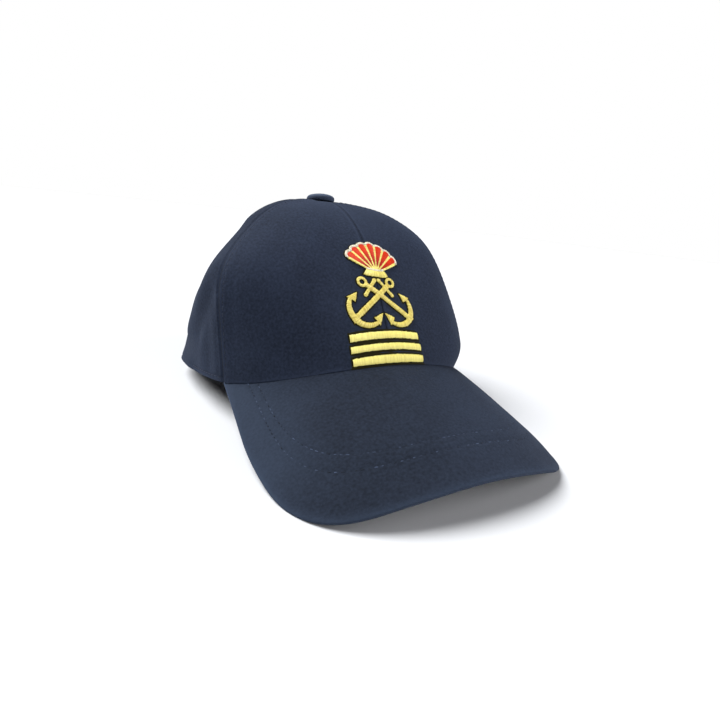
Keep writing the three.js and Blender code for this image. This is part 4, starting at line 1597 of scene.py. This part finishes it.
@dataclass
class SatinField:
    """Satin stitch: threads laid side by side between two edges.

    Attributes:
        left: points (a, b) along one edge.
        right: points along the other edge, matched one to one.
        pad: how high the middle of the stitches stands over the cloth, in millimetres.
    """

    left: Array
    right: Array
    pad: float = 0.55
    spacing: float = 0.34
    radius: float = 0.21
    base: float = 0.2
    ragged: float = 0.1
    tones: tuple[float, float] = (0.35, 0.95)
    graded: bool = False
    # How far the dark sheet of painted shade reaches beyond the field, in millimetres.
    underlay: float = 0.8

    def threads(self, cloth: FrontCloth, rng: np.random.Generator) -> tuple[Array, Array, Array]:
        """Paths, normals, radii: each thread rises as pad * sqrt(1 - q^2), q being -1 to 1 along it."""
        middle = (self.left + self.right) / 2
        run = max(lengths_along(line, 0)[-1] for line in (middle, self.left, self.right))
        count = max(2, int(round(run / self.spacing)))
        at = (np.arange(count) + 0.5) / count
        left, right = self.at_share(self.left, at), self.at_share(self.right, at)
        way = unit(right - left)
        size = np.linalg.norm(right - left, axis=-1, keepdims=True)
        left = left - way * rng.normal(0, self.ragged, (count, 1)) * np.minimum(1, size / 2)
        right = right + way * rng.normal(0, self.ragged, (count, 1)) * np.minimum(1, size / 2)
        q = np.array([-1.0, -0.93, -0.72, -0.36, 0.0, 0.36, 0.72, 0.93, 1.0])
        flat = left[:, None] + (right - left)[:, None] * ((q + 1) / 2)[None, :, None]
        point, normal = cloth.place(flat[..., 0], flat[..., 1])
        full = np.minimum(1.0, size / 2.4)
        lift = self.base + self.pad * full * np.sqrt(1 - q**2)[None] + rng.normal(0, 0.02, (count, 1))
        lift = lift - 0.22 * (np.abs(q) > 0.99)
        radii = self.radius * np.where(np.abs(q) > 0.99, 0.45, 1.0)
        return point + normal * lift[..., None], normal, np.broadcast_to(radii, (count, len(q)))

    def shades(self, count: int, rng: np.random.Generator) -> Array:
        """A tone for each thread, in the field's range, or rising along the field where it is graded."""
        drawn = rng.uniform(*self.tones, count)
        if not self.graded:
            return drawn
        low, high = self.tones
        return 0.3 * drawn + 0.7 * (low + (high - low) * smooth_step(np.arange(count) / count, 0.1, 0.8))

    def shade_sheet_skin(self, cloth: FrontCloth, lift: float) -> tuple[Array, Array]:
        """Closed skin of the dark sheet of painted shade beneath the field, a little wider than it all
        round.

        Args:
            cloth: the front of the cap.
            lift: height of the sheet's middle over the cloth.

        Returns:
            Its points and faces.
        """
        middle = (self.left + self.right) / 2
        run = lengths_along(middle, 0)[-1] + 2 * self.underlay
        count = max(4, int(round(run / 0.9)))
        at = np.linspace(0, 1, count)
        left, right = self.at_share(self.left, at), self.at_share(self.right, at)
        way = right - left
        size = np.linalg.norm(way, axis=-1, keepdims=True)
        way = way / np.maximum(size, 0.05)
        way = np.where(size > 0.05, way, np.roll(way, 1, 0))
        along = unit(np.gradient((left + right) / 2, axis=0))
        end = np.zeros((count, 1))
        end[0], end[-1] = -self.underlay, self.underlay
        left, right = left - way * self.underlay + along * end, right + way * self.underlay + along * end
        q = np.linspace(-1, 1, 7)
        flat = left[:, None] + (right - left)[:, None] * ((q + 1) / 2)[None, :, None]
        point, normal = cloth.place(flat[..., 0], flat[..., 1])
        rise = lift * (1 - np.abs(q) ** 6) * np.ones((count, 1))
        rise[0], rise[-1] = 0, 0
        outer, inner = point + normal * rise[..., None], point - normal * 0.15
        points = np.concatenate([outer.reshape(-1, 3), inner.reshape(-1, 3)])
        return points, outward(points, shell_quads(count, len(q)))

    @staticmethod
    def at_share(edge: Array, share: Array) -> Array:
        """Points at shares of an edge's entries, which are matched from edge to edge."""
        index = np.linspace(0, 1, len(edge))
        return np.stack([np.interp(share, index, edge[:, k]) for k in range(2)], -1)


def stroke(line: Array, widths: Array | float, slant: float = 0.0, **look: object) -> SatinField:
    """A satin field along a centre line, its threads square to it or slanted.

    Args:
        line: points (a, b) of the centre line.
        widths: the stroke's width at each point, or one width.
        slant: how far the threads lean along the line, as a share of the half width.
        look: other fields of the satin.
    """
    along = unit(np.gradient(line, axis=0))
    square = np.stack([-along[:, 1], along[:, 0]], -1)
    half = np.broadcast_to(np.asarray(widths, float) / 2, len(line))[:, None]
    lean = slant * half * along
    return SatinField(line + square * half + lean, line - square * half - lean, **look)


def arc(centre: tuple[float, float], radius: float, start: float, end: float, count: int = 40) -> Array:
    """Points of a circle's arc between two angles in degrees, counted from +a towards +b."""
    turn = np.radians(np.linspace(start, end, count))
    return np.array(centre) + radius * np.stack([np.cos(turn), np.sin(turn)], -1)


def straight(start: Sequence[float], end: Sequence[float], count: int = 12) -> Array:
    """Even points of a straight line."""
    return np.linspace(start, end, count)


@dataclass
class Embroidery:
    """A group of satin fields in one thread."""

    name: str
    slot: str
    finish: bpy.types.Material
    fields: list[SatinField]

    def build(self, cloth: FrontCloth, rng: np.random.Generator) -> bpy.types.Object:
        """Makes all the threads as one piece, each with its own tone."""
        parts = [satin.threads(cloth, rng) for satin in self.fields]
        paths, normals, radii = (np.concatenate([p[k] for p in parts]) for k in range(3))
        points, faces = thread_tubes(paths, normals, radii, 0.85, 6)
        tone = np.concatenate([f.shades(len(p[0]), rng) for f, p in zip(self.fields, parts)])
        return Piece(
            self.name,
            points,
            faces,
            self.finish,
            self.slot,
            tone=np.repeat(tone, points.shape[0] // len(paths)),
        ).make()


@dataclass(frozen=True)
class RankBars:
    """Three plain gold bars, slightly bowed upwards, threads across the short way."""

    # Left and right end, lower and upper edge at the ends, and how far each edge bows up in the middle.
    bars: tuple[tuple[float, float, float, float, float, float], ...] = (
        (-21.7, 21.0, 1.3, 4.7, 0.0, 0.9),
        (-22.0, 20.3, 7.3, 10.5, 1.0, 1.2),
        (-21.8, 19.6, 13.0, 16.6, 1.3, 1.5),
    )

    def fields(self) -> list[SatinField]:
        """One satin field a bar: b = edge + bow (1 - s^2), s from -1 to 1 across."""
        across = np.linspace(-1, 1, 60)
        made = []
        for left, right, low, high, low_bow, high_bow in self.bars:
            a = (left + right) / 2 + across * (right - left) / 2
            bow = 1 - across**2
            edges = np.stack([a, low + low_bow * bow], -1), np.stack([a, high + high_bow * bow], -1)
            made.append(SatinField(*edges, pad=0.5, tones=(0.7, 1.0), underlay=1.35))
        return made


@dataclass(frozen=True)
class PlainAnchor:
    """A plain anchor lying on a slant: ring, stock, shank and two arms with triangular flukes."""

    hand: int
    bowl: tuple[float, float] = (-9.6, 31.1)
    bowl_radius: float = 9.7
    tilt: float = 51.0
    middle: float = 0.1
    ring_at: float = 23.8
    ring_radius: float = 2.3
    look: dict[str, object] = field(default_factory=lambda: {"tones": (0.1, 0.7)})

    def lay(self, local: Array) -> Array:
        """Own (right, up) coordinates from the bowl's centre as places on the cloth, mirrored by hand."""
        tilt = math.radians(self.tilt)
        up = np.array([math.sin(tilt), math.cos(tilt)])
        right = np.array([math.cos(tilt), -math.sin(tilt)])
        flat = np.array(self.bowl) + local[:, :1] * right + local[:, 1:] * up
        return flat * [self.hand, 1] + [self.middle, 0]

    def fields(self) -> list[SatinField]:
        """Satin fields of the anchor, drawn with its shank along its own upward axis."""
        r, made = self.bowl_radius, []
        # Each arm: which way it bends, how far round it goes, and how far its fluke's tip lies beyond.
        for way, reach, tip in ((1, 88, 121), (-1, 74, 104)):
            bend = arc((0, 0), r, -90, -90 + way * reach)
            widths = np.interp(np.linspace(0, 1, len(bend)), [0, 0.5, 1], [3.4, 2.7, 1.7])
            made.append(stroke(self.lay(bend), widths, 0.25, **self.look))
            root = arc((0, 0), r, 0, -90 + way * (reach - 5), 2)[1]
            point = arc((0, 0), r * 0.97, 0, -90 + way * tip, 2)[1]
            barb_in, barb_out = root * 0.68, root * 1.2
            edges = self.lay(straight(barb_in, point)), self.lay(straight(barb_out, point))
            made.append(SatinField(*edges, **self.look))
        shank = straight((0, -r - 1.8), (0, self.ring_at - self.ring_radius))
        made.append(stroke(self.lay(shank), 2.7, 0.3, **self.look))
        made.append(stroke(self.lay(arc((0, self.ring_at), self.ring_radius, -90, 270)), 1.35, **self.look))
        stock = self.ring_at - self.ring_radius - 2.9
        made.append(stroke(self.lay(straight((-5.0, stock), (5.0, stock), 16)), 1.7, **self.look))
        for way in (1, -1):
            knob = arc((way * 5.5, stock), 1.1, 0, 180, 9)
            made.append(SatinField(self.lay(knob), self.lay(knob * [1, -1] + [0, 2 * stock]), **self.look))
        return made


@dataclass(frozen=True)
class ScallopShell:
    """A small scallop shell: a fan of red lobes between gold ribs, with a gold hinge and two ears below."""

    origin: tuple[float, float] = (1.1, 51.6)
    lean: float = -4.5
    spread: float = 62.0
    lobes: int = 7
    rim: float = 18.6
    side_rim: float = 16.9
    scallop: float = 1.3
    hinge_radius: float = 3.2
    ear_half: tuple[float, float] = (7.6, 5.2)
    ear_levels: tuple[float, float] = (-2.2, 1.4)

    def lay(self, local: Array) -> Array:
        """Own coordinates as places on the cloth, turned by the lean."""
        turn = math.radians(self.lean)
        c, s = math.cos(turn), math.sin(turn)
        return local @ np.array([(c, s), (-s, c)]) + np.array(self.origin)

    def ray(self, turn: Array | float, radius: Array | float) -> Array:
        """Points at an angle in degrees from upright and a distance from the hinge."""
        turn, radius = np.broadcast_arrays(np.radians(turn), radius)
        return np.stack([radius * np.sin(turn), radius * np.cos(turn)], -1)

    def edge(self, turn: Array) -> Array:
        """Distance of the scalloped rim from the hinge: each lobe bulges out between its two ribs."""
        share = np.abs(turn) / self.spread
        inside = (turn + self.spread) / (2 * self.spread) * self.lobes
        return (
            self.rim
            + (self.side_rim - self.rim) * share
            + self.scallop * np.abs(np.sin(np.pi * inside)) ** 0.7
        )

    def ribs(self) -> Array:
        """Angles of the ribs between the lobes and beside the outer ones."""
        return np.linspace(-self.spread, self.spread, self.lobes + 1)

    def red_fields(self) -> list[SatinField]:
        """Each lobe sewn across from rib to rib, crimson at the hinge and light red at the rim."""
        made, ribs = [], self.ribs()
        for left, right in zip(ribs[:-1], ribs[1:]):
            middle, half = (left + right) / 2, (right - left) / 2
            share = np.linspace(0.0, 1.0, 30)
            start, end = self.hinge_radius, float(self.edge(np.array(middle))) - 0.3
            radius = start + (end - start) * share
            narrow = np.sqrt(np.clip(1 - np.clip((share - 0.8) / 0.2, 0, 1) ** 2 * 0.75, 0, 1))
            fan = half * 0.97 * narrow
            edges = self.lay(self.ray(middle - fan, radius)), self.lay(self.ray(middle + fan, radius))
            made.append(SatinField(*edges, pad=0.6, tones=(0.0, 0.9), graded=True, underlay=0.3))
        return made

    def gold_fields(self) -> list[SatinField]:
        """The hinge with its two ears, and the ribs."""
        ears = []
        for level, half in zip(self.ear_levels, self.ear_half):
            x = np.linspace(-half, half, 40)
            ears.append(self.lay(np.stack([x, level + 0.9 * (np.abs(x) / half) ** 3], -1)))
        made = [SatinField(*ears, pad=0.6, tones=(0.35, 0.9))]
        for turn in self.ribs():
            reach = np.linspace(self.hinge_radius - 1.6, float(self.edge(np.array(turn))) - 0.2, 20)
            line = self.lay(self.ray(turn, reach))
            made.append(stroke(line, np.linspace(0.9, 1.5, 20), 0.3, pad=0.5, base=0.45, underlay=0.2))
        return made

    def pale_fields(self) -> list[SatinField]:
        """Cord round the rim, and a line of it across the ears."""
        turn = np.linspace(-self.spread - 1.5, self.spread + 1.5, 240)
        rim = self.ray(turn, self.edge(np.clip(turn, -self.spread, self.spread)) + 0.5)
        made = [stroke(self.lay(even_points(rim, 260)), 1.35, 0.3, pad=0.5, base=0.35, tones=(0.0, 0.9))]
        x = np.linspace(-self.ear_half[1], self.ear_half[1], 30)
        line = np.stack(
            [x, np.full_like(x, self.ear_levels[1] + 0.3) + 0.9 * (np.abs(x) / self.ear_half[1]) ** 3],
            -1,
        )
        made.append(stroke(self.lay(line), 1.0, 0.3, pad=0.35, base=0.6, tones=(0.1, 0.8), underlay=0.1))
        return made


@dataclass
class Badge:
    """The embroidered badge: a small shell over two plain crossed anchors and three bars."""

    wardrobe: dict[str, bpy.types.Material]

    def build(self) -> list[bpy.types.Object]:
        """Sews the badge on the front panels, the dark sheet of painted shade beneath it first."""
        cloth = FrontCloth()
        rng = np.random.default_rng(SEED + 5)
        shell, gold = ScallopShell(), self.wardrobe["gold"]
        groups = [
            Embroidery("rank_bars", "gold_thread", gold, RankBars().fields()),
            Embroidery("anchor_ring_left", "gold_thread", gold, PlainAnchor(-1).fields()),
            Embroidery("anchor_ring_right", "gold_thread", gold, PlainAnchor(1).fields()),
            Embroidery("shell_red", "red_thread", self.wardrobe["red"], shell.red_fields()),
            Embroidery("shell_gold", "gold_thread", gold, shell.gold_fields()),
            Embroidery("shell_pale", "pale_thread", self.wardrobe["pale"], shell.pale_fields()),
        ]
        made = [self.underlay(cloth, [f for group in groups for f in group.fields])]
        return made + [group.build(cloth, rng) for group in groups]

    def underlay(self, cloth: FrontCloth, fields: list[SatinField]) -> bpy.types.Object:
        """All the dark sheets of painted shade as one piece, each a hair above the one before."""
        points, faces, first = [], [], 0
        for k, satin in enumerate(fields):
            own, quads = satin.shade_sheet_skin(cloth, 0.2 + 0.0015 * k)
            points.append(own)
            faces.append(quads + first)
            first += len(own)
        tone = np.full(first, 0.5)
        return Piece(
            "badge_underlay",
            np.concatenate(points),
            [np.concatenate(faces)],
            self.wardrobe["underlay"],
            "seam_thread",
            tone=tone,
        ).make()


# Stage


@dataclass
class Stage:
    """Pale floor, soft studio lights and the camera."""

    floor_half: float = 6.0
    camera_at: tuple[float, float, float] = (-0.13481115621, -0.24689278945, 0.11070865702)
    forward: tuple[float, float, float] = (0.49015312, 0.82110421, -0.29246845)
    right: tuple[float, float, float] = (0.86990011, -0.48198523, 0.10470927)
    up: tuple[float, float, float] = (0.05498825, 0.30574191, 0.95052521)
    lens: float = 23.588
    # Soft lights that are far away: where each one shines from, its strength, its spread in
    # degrees and its colour.
    lights: tuple[tuple[tuple[float, float, float], float, float, str], ...] = (
        ((-0.45, 0.4, 0.79), 6.6, 45.0, "fdfeff"),
        ((0.0, -0.966, 0.259), 0.9, 45.0, "ffffff"),
        ((0.82, -0.45, 0.26), 2.9, 45.0, "fdfcff"),
    )

    def build(self) -> None:
        """Sets the stage."""
        self.build_floor()
        for k, (way, strength, spread, colour) in enumerate(self.lights):
            self.build_light(f"soft_light_{k}", way, strength, spread, colour)
        self.build_world()
        self.build_camera()
        view = bpy.context.scene.view_settings
        view.view_transform = "Standard"
        view.look = "None"

    def build_floor(self) -> None:
        """A wide flat board at height zero."""
        h = self.floor_half
        mesh = bpy.data.meshes.new("floor")
        mesh.from_pydata([(-h, -h, 0), (h, -h, 0), (h, h, 0), (-h, h, 0)], [], [(0, 1, 2, 3)])
        mesh.materials.append(FloorFinish().make())
        floor = bpy.data.objects.new("floor", mesh)
        bpy.context.scene.collection.objects.link(floor)

    def build_light(
        self, name: str, way: Sequence[float], strength: float, spread: float, colour: str
    ) -> None:
        """A far soft light that shines from one direction."""
        lamp = bpy.data.lights.new(name, "SUN")
        lamp.energy, lamp.angle, lamp.color = strength, math.radians(spread), linear_colour(colour)[:3]
        light = bpy.data.objects.new(name, lamp)
        back = unit(np.array(way))
        right = unit(np.cross([0, 1, 0], back))
        matrix = np.eye(4)
        matrix[:3, :3] = np.stack([right, np.cross(back, right), back], -1)
        matrix[:3, 3] = back * 2
        light.matrix_world = Matrix(matrix.tolist())
        bpy.context.scene.collection.objects.link(light)

    def build_world(self) -> None:
        """White surround to look at, dimmer as a light."""
        world = bpy.data.worlds.new("surround")
        world.use_nodes = True
        tree = world.node_tree
        tree.nodes.clear()
        ray = add_node(tree, "LightPath")
        seen = add_node(tree, "Background", None, {"Color": (1, 1, 1, 1), "Strength": 1.0})
        lit = add_node(tree, "Background", None, {"Color": linear_colour("dfe6f2"), "Strength": 0.04})
        mixed = add_node(
            tree,
            "MixShader",
            None,
            {0: ray.outputs["Is Camera Ray"], 1: lit.outputs[0], 2: seen.outputs[0]},
        )
        add_node(tree, "OutputWorld", None, {"Surface": mixed.outputs[0]})
        bpy.context.scene.world = world

    def build_camera(self) -> None:
        """The camera where the photograph was taken from."""
        data = bpy.data.cameras.new("camera")
        data.lens, data.sensor_width, data.sensor_fit = self.lens, 36.0, "HORIZONTAL"
        data.clip_start, data.clip_end = 0.01, 50.0
        camera = bpy.data.objects.new("camera", data)
        forward = unit(np.array(self.forward))
        right = unit(np.cross(forward, self.up))
        matrix = np.eye(4)
        matrix[:3, 0], matrix[:3, 1], matrix[:3, 2] = right, np.cross(right, forward), -forward
        matrix[:3, 3] = self.camera_at
        camera.matrix_world = Matrix(matrix.tolist())
        bpy.context.scene.collection.objects.link(camera)
        bpy.context.scene.camera = camera


def main() -> None:
    """Builds the cap and its stage in order."""
    logging.basicConfig(level=logging.INFO, format="%(message)s")
    Stage().build()
    wardrobe = {wearer: finish.make() for wearer, finish in FINISHES.items()}
    for kind in PanelKind:
        for hand in (1, -1):
            CrownPanel(kind, hand, wardrobe["panels"]).build()
    CrownStitching(wardrobe["seam_thread"]).build()
    Peak(wardrobe["peak"], wardrobe["peak_thread"]).build()
    TopButton(wardrobe["button"]).build()
    BackStrap(wardrobe["strap"], wardrobe["seam_thread"]).build()
    ArchBinding(wardrobe["panels"], wardrobe["seam_thread"]).build()
    Badge(wardrobe).build()


if __name__ == "__main__":
    main()
